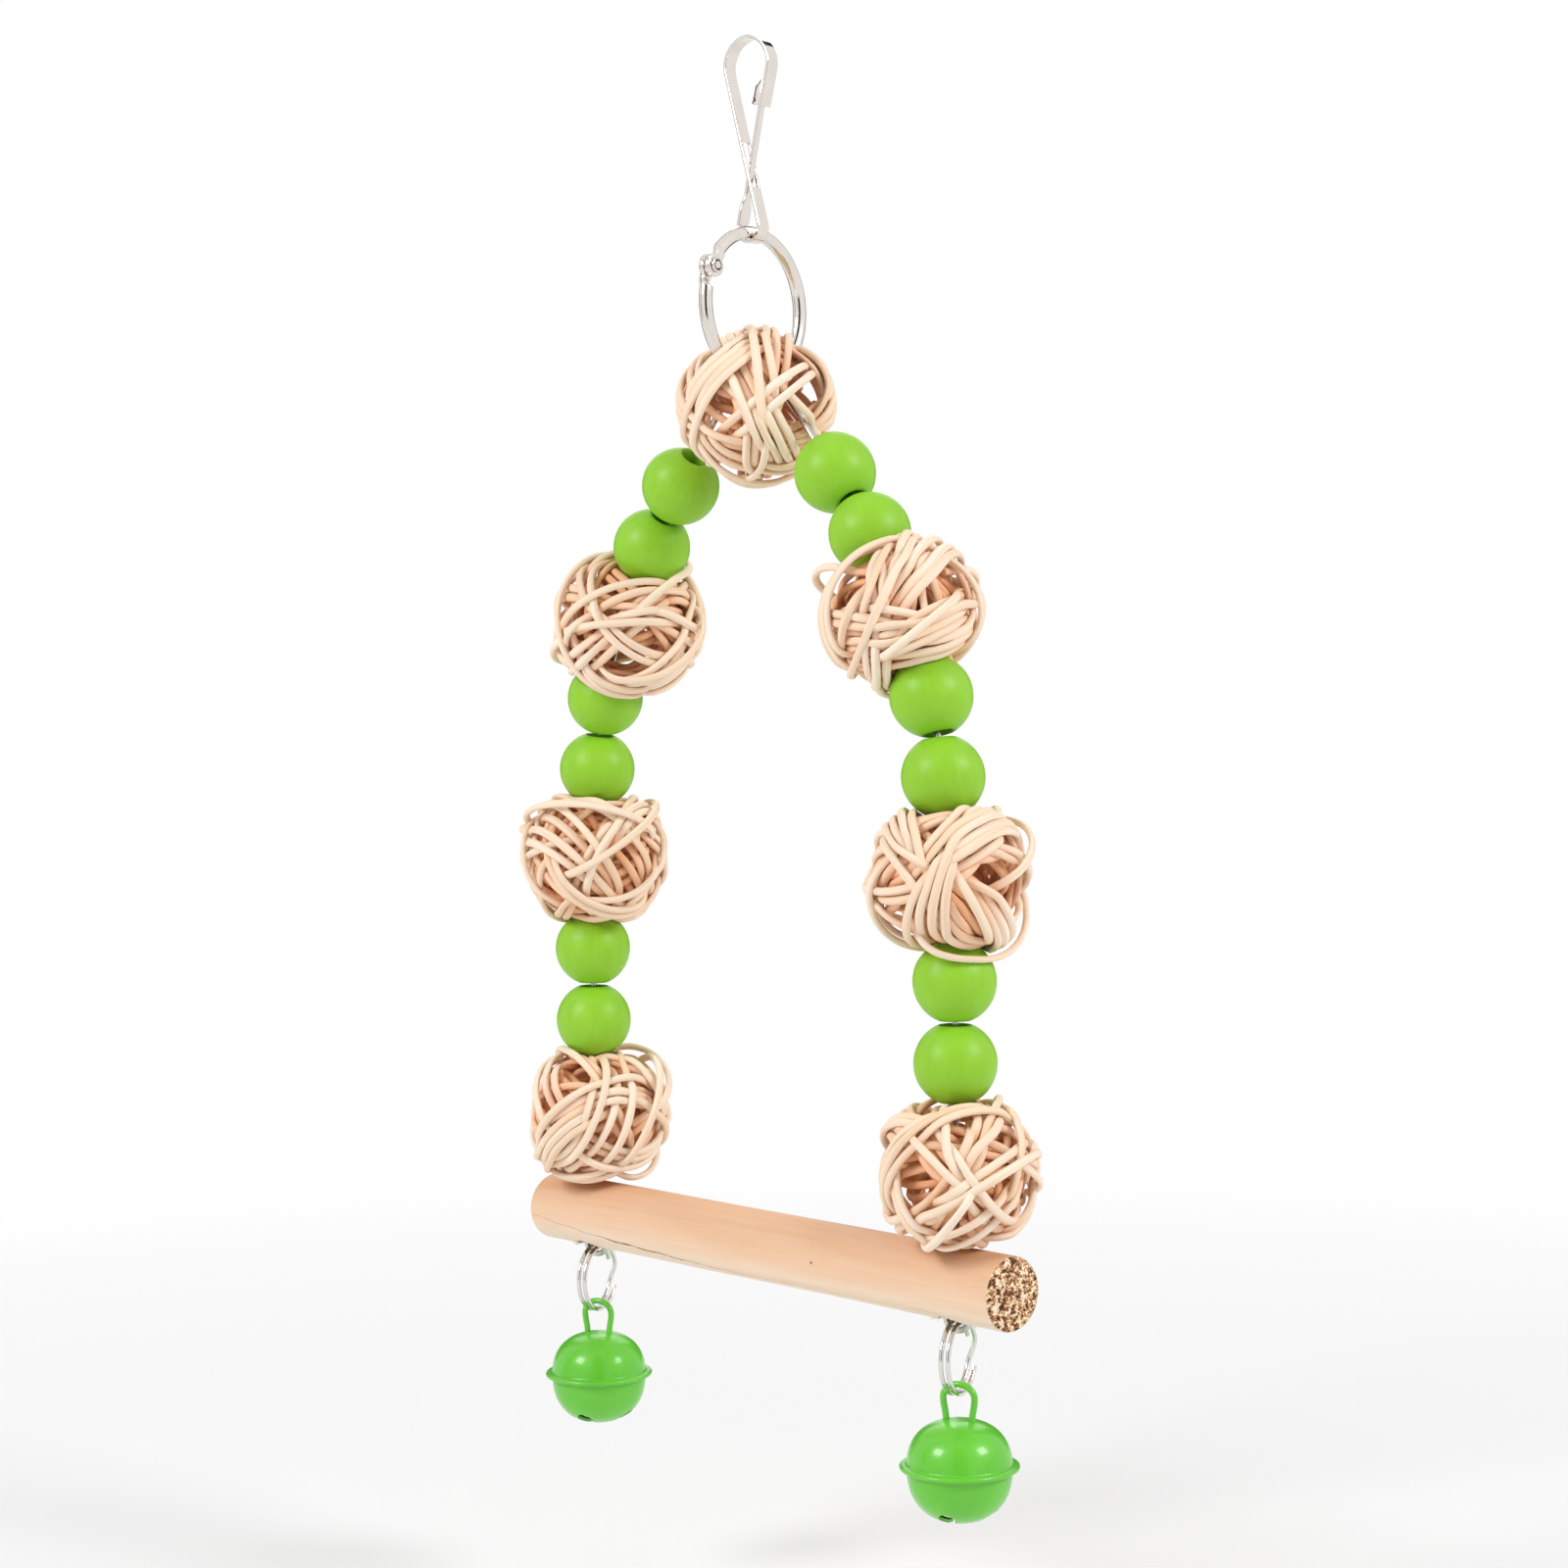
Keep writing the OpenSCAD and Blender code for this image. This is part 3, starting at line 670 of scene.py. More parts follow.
def make_ring_half(body, side):
    """Half of the ring: round wire that flattens to a tab at the hinge and halves at the clasp."""
    tab_r = TAB_D / 2
    wire_r = RING_WIRE / 2
    half_gap = RUN_GAP / 2
    length = pi * ring_r
    lap_from = length - LAP_L / 2 - RUN_GAP
    # Distances along the half from the hinge: over its tab, its shoulder, its wire and its lap
    tab_run = -tab_r * np.cos(np.linspace(0, pi / 2, 9))
    tab_run[0] *= 0.999
    shoulder = np.linspace(0.25, 5.2, 22)
    body_run = np.linspace(5.7, length - LAP_L / 2 - 0.3, 74)
    lap_run = np.linspace(lap_from, length + LAP_L / 2, 8)
    a = ring_angles(28)
    rings = []
    for run in np.concatenate([tab_run, shoulder, body_run, [lap_from - 0.02], lap_run]):
        disc = sqrt(max(tab_r ** 2 - run ** 2, 0)) if run < tab_r else 0.0
        full = float(smooth_step(run, 2.7, 4.3))
        wide = max(disc, wire_r * (0.92 + 0.08 * full) if run > 0 else disc)
        low = -wire_r * full + half_gap * (1 - full)
        power = 2 / (5 - 3 * float(smooth_step(run, 2.4, 4.0)))
        c = np.sign(np.cos(a)) * np.abs(np.cos(a)) ** power * wide
        s = np.sign(np.sin(a)) * np.abs(np.sin(a)) ** power * (wire_r - low) / 2 + (wire_r + low) / 2
        if run >= lap_from:
            s = np.maximum(s, half_gap)
        angle = RIVET_ANGLE - side * run / ring_r / pi * 180
        rings.append([ring_point(angle, out, side * up) for out, up in zip(c, s)])
    dress(add_swept(body + "_half_wire", [rings], 38), body, nickel, [body + "_half"])


def make_rivet():
    """Rivet with a ring groove pressed into each head."""
    head_r = RIVET_HEAD_D / 2
    base = (RING_WIRE + RUN_GAP) / 2
    half = [(RIVET_D / 2, 0.1), (RIVET_D / 2, base)]
    half += [(head_r * x, base + RIVET_HEAD_H * z) for x, z in RIVET_HEAD]
    points, faces = lathe([(r, -z) for r, z in half[::-1]] + half, 40, closed=False)
    radial = ring_way(RIVET_ANGLE)
    placed = oriented(points, rivet, radial, np.cross(HOOK_ACROSS, radial), HOOK_ACROSS)
    piece = add_mesh("ring_rivet_grooved", placed, faces, 40)
    # The groove in each head is marked for painted shade and dirt, which darkens its recess
    from_axis = np.linalg.norm(points[:, :2], axis=1) / head_r
    grooved = (np.abs(from_axis - GROOVE_AT) < GROOVE_HALF) * (np.abs(points[:, 2]) > base)
    store(piece, "shade_and_dirt_mark", grooved)
    dress(piece, "ring_upper", nickel_shade_and_dirt, ["ring_rivet"])


# Arch wire


def bend_reach(r, i):
    return r * (sin(radians(BEND_STOPS[i + 1])) - sin(radians(BEND_STOPS[i])))


slope_reach = LEG_X - bend_reach(APEX_R, 0) - bend_reach(SHOULDER_R, 2) - bend_reach(SLACK_R, 3)
BEND_RADII = (APEX_R, slope_reach / bend_reach(1.0, 1), SHOULDER_R, SLACK_R)


def side_points():
    """Points of the wire's right side, [x, z], from its top to where the leg is straight."""
    points = []
    centre = np.array([0.0, apex[2] - APEX_R])
    for i, r in enumerate(BEND_RADII):
        start, stop = BEND_STOPS[i:i + 2]
        if i:
            turn = radians(start)
            centre = centre + (BEND_RADII[i - 1] - r) * np.array([sin(turn), cos(turn)])
        count = max(4, int(radians(stop - start) * r))
        for k in range(count):
            a = radians(start + (stop - start) * k / count)
            points.append(centre + r * np.array([sin(a), cos(a)]))
    points.append(np.array([LEG_X, centre[1]]))
    return np.array(points)


split_top = perch_z - PERCH_D / 2 + SPLIT_SINK
split_z = split_top - SPLIT_OD / 2
bundle_w = SPLIT_PITCH + SPLIT_WIRE
wire_eye_r = (WIRE_EYE_D + WIRE_D) / 2
wire_eye_z = split_top - SPLIT_WIRE - RUN_GAP + sqrt((WIRE_EYE_D / 2) ** 2 - (bundle_w / 2) ** 2)
NECK_SHARE = 1.6
turn_flat = np.array([cos(radians(SPLIT_TURN)), sin(radians(SPLIT_TURN)), 0.0])
turn_side = np.array([-turn_flat[1], turn_flat[0], 0.0])


def make_arch_wire():
    """Wire bent to an arch, with a drop-shaped eye below each end of the perch."""
    arch = side_points()
    neck = wire_eye_r * NECK_SHARE
    tangent = degrees(asin(1 / NECK_SHARE))
    eye = arc_points((0, 0), wire_eye_r, tangent, -180 - tangent, 40)
    eye.append(np.array([0, neck]) - 1.5 * WIRE_D * direction(90 - tangent))
    leg = [np.array([LEG_X, z]) for z in np.linspace(arch[-1][1], wire_eye_z + neck, 24)[1:]]

    def whole_side(way):
        flat = [[way * x, 0, z] for x, z in np.concatenate([arch, leg])]
        drop = [np.array([way * LEG_X, 0, wire_eye_z + z]) + x * turn_flat for x, z in eye]
        return flat + drop, [[0, 1, 0]] * len(flat) + [turn_side] * len(drop)

    right, right_sides = whole_side(1)
    left, left_sides = whole_side(-1)
    sides = np.array(left_sides[:0:-1] + right_sides, float)
    piece = add_tube("arch_wire_bent", left[:0:-1] + right, sides, WIRE_D / 2, WIRE_D * 0.2)
    dress(piece, "arch", wire_steel, ["arch_wire"])


# Beads


BEAD_SEEDS = {"left": 100, "right": 110}
BEAD_FILLET = 0.55
# How far a bead's surface swells and sinks, and how far it is drawn in for that
BEAD_SWELL = 0.018
BEAD_INSET = 0.03


def make_bead(side, number):
    """Turned bead with softly rounded bore edges, a little uneven as painted wood is."""
    name = f"bead_{side}_{number}"
    axis = axis_of(name + "_spin")
    rng = np.random.default_rng(BEAD_SEEDS[side] + number)
    r = BEAD_D / 2 - BEAD_INSET
    bore = BEAD_BORE / 2
    edge = degrees(asin((bore + BEAD_FILLET * 0.8) / r))
    outer = [(r * sin(radians(a)), r * cos(radians(a)))
             for a in np.linspace(edge, 180 - edge, 42)]
    top = outer[0][1]
    inner = [(bore + 0.14, -top + 0.14), (bore, -top + BEAD_FILLET), (bore, 0.0), (bore, top - BEAD_FILLET),
             (bore + 0.14, top - 0.14)]
    points, faces = lathe(outer + inner, 64)
    swell = np.zeros(len(points))
    for _ in range(3):
        way = unit(rng.normal(size=3))
        swell += BEAD_SWELL * np.cos(points @ way * rng.uniform(0.35, 0.8) + rng.uniform(0, 6.28))
    points = points * (1 + (swell - BEAD_INSET)[:, None] / r)
    across = unit(np.cross(axis, [0, 1, 0]))
    spin = rng.uniform(0, 2 * pi)
    flat = cos(spin) * across + sin(spin) * np.cross(axis, across)
    placed = oriented(points, place(name + "_spin"), flat, np.cross(axis, flat), axis)
    piece = add_mesh(name + "_turned", placed, faces, 60)
    store(piece, "grain", (points + rng.uniform(-60, 60, 3)) * MM)
    dress(piece, name, bead_green, [name])


# Woven balls


# Cane: distance between its points, how far out and in its middle runs, how much deeper the
# inner layer lies, and how far the ball may reach to the front and back
CANE_STEP = 0.9
CANE_OUT = BALL_D / 2 - CANE_T / 2 - 0.12
CANE_IN = CANE_OUT - 3.1
INNER_DROP = 2.4
SIDE_LIMIT = BALL_D / 2 - 0.1
# Turns in all, those of one length of cane and how often each is taken
OUTER_TURNS = 25.0
INNER_TURNS = 9.0
CANE_TURNS = (1.2, 2.15, 3.1, 4.15)
CANE_ODDS = (0.25, 0.3, 0.3, 0.15)
# How far each turn fans out or slides beside the last one, and the most slide as a share of the radius
FAN_STEP = 2.3
SLIDE_STEP = 1.9
MOST_SLIDE = 0.72
# How far a turn dips and a loose one stands out, and how its end is tucked in
DIP = 1.15
LOOSE_OUT = 2.0
TUCK_DEPTH = 3.0
TUCK_L = 9.0
# Settling: steps, how near canes are that may touch, points of one cane that never do, longest move
SETTLE_STEPS = 140
NEAR = 2.9
OWN_RUN = 7
MOST_PUSH = 0.35
# Least and most cosine between the ball's axis and the normal of a cane's plane
TILTS = (0.3, 0.97)
# Turns of a loose cane, and the fewest turns that are worth another cane
LOOSE_TURNS = (0.35, 0.55)
LEAST_TURNS = 0.6
# How far below the inner layer a cane may be pushed
INNER_ROOM = 0.6
# Settling: the share of a push that each cane takes, and the share of all pushes in one step
PUSH_SHARE = 0.5
STEP_SHARE = 0.6
# Canes side by side: how near they may lie and how level they are, as shares of width and thickness
SIDE_NEAR = 0.98
SIDE_LEVEL = 0.9
# Cosines between which two canes turn from crossing each other to running side by side
BESIDE = (0.86, 0.97)
# How far beside a crossing a cane starts to rise over the other
CROSS_L = 1.7
# Kinks: how far a point stands off its neighbours, from where it is left to where it is fully rounded
KINK_FROM = 0.03
KINK_TO = 0.07
ROUNDING_PASSES = 14
# How far the wire bows from the axis of each leg ball, from the top down
WIRE_BOWS = (1.5, 0.7, 0.0)
BALL_SEEDS = {"left": (50, 60, 70), "right": (51, 62, 71)}
TOP_BALL_SEED = 31


def wave(rng, length, scale, size):
    """Smooth random wave along a strand, about plus or minus size."""
    total = np.zeros(len(length))
    for _ in range(4):
        total += np.sin(length / (scale * rng.uniform(0.6, 1.6)) * 2 * pi + rng.uniform(0, 6.28))
    return total * size / 2


def wind(rng, axis, turns, layer):
    """One cane wound round the ball: its turns lie side by side in a band that fans out and dips."""
    # Its plane lies neither square to the ball's axis nor nearly along it
    while True:
        normal = unit(rng.normal(size=3))
        if TILTS[0] < abs(normal @ axis) < TILTS[1]:
            break
    first = unit(np.cross(normal, rng.normal(size=3)))
    second = np.cross(normal, first)
    mean_r = (CANE_OUT + CANE_IN) / 2 - (INNER_DROP if layer == "inner" else 0)
    count = int(turns * 2 * pi * mean_r / CANE_STEP)
    u = np.linspace(0, turns * 2 * pi, count)
    laps = u / (2 * pi)
    fan = rng.uniform(0.2, 1.0)
    lean_by = rng.choice([-1, 1]) * fan * FAN_STEP / mean_r * (laps - turns / 2)
    offset = rng.uniform(-0.4, 0.4) * mean_r
    shift = offset + rng.choice([-1, 1]) * (1 - 0.7 * fan) * SLIDE_STEP * (laps - turns / 2)
    shift = np.clip(shift, -MOST_SLIDE * mean_r, MOST_SLIDE * mean_r)
    dips = rng.choice([1, 2])
    r = mean_r + DIP * np.sin(dips * u + rng.uniform(0, 6.28))
    r = r + 0.3 * np.sin(0.37 * u + rng.uniform(0, 6.28))
    flat = np.sqrt(np.maximum(mean_r ** 2 - shift ** 2, 1.0)) / mean_r
    turn_at = rng.uniform(0, 2 * pi)
    side = cos(turn_at) * first + sin(turn_at) * second
    tilted = np.cos(lean_by)[:, None] * normal + np.sin(lean_by)[:, None] * side
    base = np.cos(u)[:, None] * first + np.sin(u)[:, None] * second
    base = base - np.sum(base * tilted, 1, keepdims=True) * tilted
    points = unit(base) * flat[:, None] + tilted * (shift / mean_r)[:, None]
    ends = np.minimum(np.arange(count), np.arange(count)[::-1]) * CANE_STEP
    tuck = 1 - smooth_step(ends, 0.0, TUCK_L)
    if layer == "loose":
        r = CANE_OUT + LOOSE_OUT * np.sin(pi * np.arange(count) / (count - 1)) ** 2
    return unit(points) * (r - TUCK_DEPTH * tuck)[:, None]


def weave(rng, axis, loose, keep_out, floor):
    """All the canes of a ball, settled so that they pass over and under each other."""
    strands = []
    for layer, left in (("inner", INNER_TURNS), ("outer", OUTER_TURNS)):
        while left > LEAST_TURNS:
            turns = min(left, rng.choice(CANE_TURNS, p=CANE_ODDS))
            strands.append(wind(rng, axis, turns, layer))
            left -= turns
    tight = sum(len(strand) for strand in strands)
    for _ in range(loose):
        strands.append(wind(rng, axis, rng.uniform(*LOOSE_TURNS), "loose"))
    start = np.concatenate(strands)
    count = len(start)
    most_out = np.full(count, CANE_OUT)
    most_out[tight:] += LOOSE_OUT
    owner = np.repeat(np.arange(len(strands)), [len(s) for s in strands])
    joined = owner[1:] == owner[:-1]
    before = np.arange(count) - np.append(False, joined)
    after = np.arange(count) + np.append(joined, False)
    heads = unit(start)
    near = heads @ heads.T > cos(NEAR / CANE_OUT)
    first, second = np.nonzero(np.triu(near, 1))
    apart = (owner[first] != owner[second]) | (second - first > OWN_RUN)
    first, second = first[apart], second[apart]
    moved = np.zeros_like(start)
    for step in range(SETTLE_STEPS):
        points = start + moved
        heading = unit(points[after] - points[before])
        gap = points[second] - points[first]
        out = unit(points[second] + points[first])
        height = np.sum(gap * out, 1)
        lateral = gap - height[:, None] * out
        distance = np.maximum(np.linalg.norm(lateral, axis=1), 1e-6)
        # Canes that cross are lifted over each other, and those that run along each other spread
        along = smooth_step(np.abs(np.sum(heading[first] * heading[second], 1)), *BESIDE)
        want = CANE_T * np.sqrt(np.clip(1 - (distance / CROSS_L) ** 2, 0, 1))
        lift = np.clip(want - np.abs(height), 0, None) * np.where(height >= 0, 1, -1) * (1 - along)
        level = np.abs(height) < CANE_T * SIDE_LEVEL
        spread = np.clip(CANE_W * SIDE_NEAR - distance, 0, None) * level * along
        push = PUSH_SHARE * lift[:, None] * out + PUSH_SHARE * (spread / distance)[:, None] * lateral
        total = np.zeros_like(points)
        for k in range(3):
            total[:, k] = np.bincount(second, push[:, k], count) - np.bincount(first, push[:, k], count)
        size = np.linalg.norm(total, axis=1, keepdims=True)
        total *= np.minimum(1, MOST_PUSH / np.maximum(size, 1e-9))
        moved = moved + STEP_SHARE * total
        for _ in range(3 if step < SETTLE_STEPS - 10 else 1):
            moved = 0.5 * moved + 0.25 * (moved[before] + moved[after])
        moved = clear_cane(start + moved, most_out, keep_out, floor) - start
    points = start + moved
    return [points[owner == i] for i in range(len(strands))]


def clear_cane(points, most_out, keep_out, floor):
    """Keeps the cane within the ball's shell, above the floor and out of the places kept free."""
    half = CANE_W / 2
    r = np.linalg.norm(points, axis=1, keepdims=True)
    r_in = CANE_IN - INNER_DROP - INNER_ROOM
    points = points * (np.clip(r, r_in, most_out[:, None]) / r)
    points[:, 1] = np.clip(points[:, 1], half - SIDE_LIMIT, SIDE_LIMIT - half)
    for places, radius in keep_out:
        gap = points[:, None, :] - places[None, :, :]
        distance = np.linalg.norm(gap, axis=2)
        nearest = (np.arange(len(points)), np.argmin(distance, 1))
        least = distance[nearest]
        away = gap[nearest] / np.maximum(least, 1e-6)[:, None]
        points = points + away * np.clip(radius + half - least, 0, None)[:, None]
    points[:, 2] = np.maximum(points[:, 2], floor + half)
    return points


def finer(points):
    """Twice as many points on a smooth curve through about the same places, with its kinks rounded."""
    joined = np.empty((2 * len(points) - 1, 3))
    joined[0::2] = points
    joined[1::2] = (points[1:] + points[:-1]) / 2
    for _ in range(2):
        joined[1:-1] = 0.25 * joined[:-2] + 0.5 * joined[1:-1] + 0.25 * joined[2:]
    for _ in range(ROUNDING_PASSES):
        pull = (joined[:-2] + joined[2:]) / 2 - joined[1:-1]
        sharp = smooth_step(np.linalg.norm(pull, axis=1), KINK_FROM, KINK_TO)
        joined[1:-1] += 0.5 * sharp[:, None] * pull
    return joined


def make_ball(name, body, centre, axis, seed, keep_out, floor=-inf, loose=3):
    """Woven ball of oval canes, each with its own tone and fibres. keep_out holds [points, radius]."""
    rng = np.random.default_rng(seed)
    keep_out = [(np.asarray(points, float) - centre, radius) for points, radius in keep_out]
    parts, fibres, tones, painted_shade_depths = [], [], [], []
    sides = 8
    a = ring_angles(sides)
    for path in weave(rng, axis, loose, keep_out, floor - centre[2]):
        path = finer(path)
        length = np.arange(len(path)) * CANE_STEP / 2
        heading = path_headings(path)
        out = unit(path)
        out = unit(out - np.sum(out * heading, 1, keepdims=True) * heading)
        roll = wave(rng, length, 22, 0.3)[:, None]
        up = np.cos(roll) * out + np.sin(roll) * np.cross(heading, out)
        side = np.cross(heading, up)
        thick = rng.uniform(0.94, 1.04)
        w = CANE_W / 2 * thick * (1 + wave(rng, length, 30, 0.05))
        t = CANE_T / 2 * thick * (1 + wave(rng, length, 24, 0.06))
        rings = (path[:, None] + (w[:, None] * np.cos(a))[..., None] * side[:, None]
                 + (t[:, None] * np.sin(a))[..., None] * up[:, None])
        rings = np.array(round_ends(rings, path, CANE_T * 0.16))
        parts.append(rings + centre)
        length = np.pad(length, len(END_ROUND), "edge")
        apart = rng.uniform(0, 400)
        fibres.append(np.stack([np.tile(w.mean() * np.cos(a) + apart, len(rings)),
                                np.tile(t.mean() * np.sin(a), len(rings)),
                                np.repeat(length, sides)], 1))
        tone = rng.uniform(0.1, 0.9) + wave(rng, length, 40, 0.12)
        tones.append(np.repeat(np.clip(tone, 0, 1), sides))
        # Painted shade: how deep each point lies inside the ball, which darkens and warms the cane further
        # in
        r = np.pad(np.linalg.norm(path, axis=1), len(END_ROUND), "edge")
        painted_shade_depths.append(np.repeat(np.clip((CANE_OUT - r) / (CANE_OUT - CANE_IN), 0, 1.4), sides))
    piece = add_swept(name + "_woven", parts)
    store(piece, "strand", np.concatenate(fibres) * MM)
    store(piece, "tone", np.concatenate(tones))
    store(piece, "depth", np.concatenate(painted_shade_depths))
    dress(piece, body, cane, [name])


def make_leg_ball(side, number):
    """Ball on a leg, clear of the wire, of the beads that nest in it and of the perch below."""
    name = f"rattan_ball_{side}_{number}"
    centre = place(name + "_spin")
    axis = axis_of(name + "_spin")
    keep_out = [([place(f"bead_{side}_{bead}_spin")], BEAD_D / 2 + 0.1)
                for bead in (2 * number, 2 * number + 1) if bead <= 6]
    lowest = number == 3
    wire_from = BALL_D / 2 if lowest else 9.0
    wire = [centre + axis * rise for rise in np.arange(-wire_from, 9.1, 0.5)]
    keep_out.append((wire, WIRE_D / 2 + 0.15 + WIRE_BOWS[number - 1]))
    floor = perch_z + PERCH_D / 2 + 0.05 if lowest else -inf
    make_ball(name, name, centre, axis, BALL_SEEDS[side][number - 1], keep_out, floor)


def make_top_ball():
    """Ball that hangs on the ring, clear of the ring and of the wire as it swings."""
    centre = apex - [0, 0, TOP_BALL_DROP]
    ring = [ring_point(a) for a in np.arange(-160.0, -19.0, 1.5)]
    wires = []
    for swing in (-20, -14, -7, 0, 7, 14, 20):
        c, s = direction(swing)
        for x, z in side_points()[:26]:
            drop = z - apex[2]
            wires.extend([[x, -s * drop, apex[2] + c * drop], [-x, -s * drop, apex[2] + c * drop]])
    keep_out = [(ring, RING_WIRE / 2 + 0.12), (wires, WIRE_D / 2 + 0.15)]
    axis = np.array([1.0, 0, 0])
    make_ball("rattan_ball_top", "ring_lower", centre, axis, TOP_BALL_SEED, keep_out, loose=0)


# Perch


# The drying crack: places along the perch, angles above its front and how open it is there
CRACK_X = (-64.0, -45.0, -40.0, -21.0, -16.0, 0.0, 20.0, 60.0)
CRACK_ANGLES = (-9.0, -27.0, -31.0, -43.0, -46.0, -52.0, -50.0, -46.0)
CRACK_STRENGTHS = (0.2, 0.45, 1.0, 1.0, 0.55, 0.45, 0.3, 0.15)
CRACK_MARKS = ("crack_across", "crack_width", "crack_strength")
# What these marks say where there is no crack
NO_CRACK = (3.0, 0.1, 0.0)
PERCH_SEED = 7
SPLINTER_SEED = 19
PERCH_SIDES = 112
PERCH_ROUND = 0.6
# Rings along it, the angles of those on a rounded end, and how far past the rounding the rest begin
PERCH_RINGS = 300
ROUND_ANGLES = (12, 30, 48, 66, 84)
PAST_ROUND = 0.15
# End grain: how far it stands out, how rough it is, from which ring on and how far round the edge
END_OUT = 0.12
END_ROUGH = 0.05
SMOOTH_RIM = 0.95
ROUGH_SHARE = 0.45
# Rings that close an end of the perch, as shares of its outline
END_SHARES = (0.985, 0.9, 0.78, 0.64, 0.5, 0.36, 0.22, 0.1)
# Depths of the sanding waves and of the crack, and how far the crack's edges slope to its sides
SANDING = 0.02
CRACK_DEPTH = 0.12
CRACK_SLOPE = 0.6
SPLINTERS = 44
SPLINTER_L = (0.9, 2.3)
SPLINTER_R = (0.1, 0.26)
# Place and size of each of a splinter's sections, along its length
SPLINTER_TAPER = ((0, 1.0), (0.35, 0.85), (0.7, 0.5), (1, 0.08))
# How far outside the pocket's wall a splinter stands and how deep it is rooted
SPLINTER_OUT = 0.15
SPLINTER_ROOT = 0.12
# Cosine to the split ring's axis below which no splinter stands
RING_ROOM = 0.45
# How much wider the pocket's mouth is than the pocket, all round
MOUTH_WIDER = 0.3


def perch_rings(rng):
    """Rings of the perch with softly rounded ends, how far in they are, and the crack's marks."""
    half = PERCH_L / 2
    straight = half - PERCH_ROUND - PAST_ROUND
    rounded = [-half + PERCH_ROUND * (1 - cos(radians(a))) for a in ROUND_ANGLES]
    middle = list(np.linspace(-straight, straight, PERCH_RINGS))
    xs = np.array(rounded + middle + [-x for x in rounded[::-1]])
    from_end = half - np.abs(xs)
    dip = np.clip(1 - from_end / PERCH_ROUND, 0, 1)
    radius = PERCH_D / 2 - PERCH_ROUND * (1 - np.sqrt(np.clip(1 - dip ** 2, 0, 1)))
    radius = radius[:, None] * np.ones(PERCH_SIDES)
    x, a = np.meshgrid(xs, ring_angles(PERCH_SIDES), indexing="ij")
    for _ in range(5):
        k = rng.integers(1, 4)
        radius -= SANDING * (1 + np.cos(k * a + x / rng.uniform(9, 30) + rng.uniform(0, 6.28)))
    crack_a = np.radians(np.interp(x, CRACK_X, CRACK_ANGLES)) + 0.02 * np.sin(x * 0.7)
    off = (a - crack_a + pi) % (2 * pi) - pi
    across = np.clip(off * PERCH_D / 2, -3, 3)
    strength = np.interp(x, CRACK_X, CRACK_STRENGTHS)
    radius = radius - CRACK_DEPTH * strength * np.clip(1 - np.abs(across) / CRACK_SLOPE, 0, 1)
    rings = np.stack([x, -radius * np.cos(a), perch_z + radius * np.sin(a)], -1)
    return rings, from_end, np.stack([across, 0.09 + 0.1 * strength, strength]).reshape(3, -1)


def make_perch():
    """Dowel with sanding waves, a drying crack, rough end grain, wire holes and torn pockets."""
    rng = np.random.default_rng(PERCH_SEED)
    rings, from_end, crack = perch_rings(rng)
    n, m = rings.shape[:2]
    points = [rings.reshape(-1, 3)]
    faces = sweep_faces(n, m, caps=False)
    count = n * m
    for way, edge_row in ((-1, 0), (1, n - 1)):
        edge = rings[edge_row]
        centre = np.array([edge[0, 0], 0, perch_z])
        last = [edge_row * m + k for k in range(m)]
        for share in END_SHARES:
            ring = centre + (edge - centre) * share
            ring[:, 0] += way * (END_OUT + END_ROUGH * rng.normal(size=m) * (share < SMOOTH_RIM))
            points.append(ring)
            now = [count + k for k in range(m)]
            for k in range(m):
                q = (k + 1) % m
                loop = (last[k], last[q], now[q], now[k])
                faces.append(loop if way > 0 else loop[::-1])
            last = now
            count += m
        faces.append(tuple(last) if way > 0 else tuple(last[::-1]))
    piece = add_mesh("perch_dowel", np.concatenate(points), faces, 50)
    ends = count - n * m
    rough = from_end < ROUGH_SHARE * PERCH_ROUND
    store(piece, "end_grain", np.append(np.repeat(rough, m), np.ones(ends)))
    for name, values, plain in zip(CRACK_MARKS, crack, NO_CRACK):
        store(piece, name, np.append(values, np.full(ends, plain)))
    top_z = wire_eye_z + wire_eye_r * NECK_SHARE + WIRE_D / 2
    under_z = perch_z - PERCH_D / 2
    hole_r = PERCH_HOLE_D / 2
    pocket_r = POCKET_D / 2
    mouth_r = pocket_r + MOUTH_WIDER
    hole = [(hole_r, top_z - 1), (hole_r, perch_z + PERCH_D / 2 + 2)]
    pocket = [(mouth_r, under_z - 2), (mouth_r, under_z + 1.0), (pocket_r, under_z + 1.8), (pocket_r, top_z)]
    for x in (-LEG_X, LEG_X):
        for profile in (hole, pocket):
            cut(piece, *lathe(profile, 40, (x, 0, 0), closed=False))
    smooth(piece.data, 45)
    dress(piece, "arch", perch_wood, ["perch"])


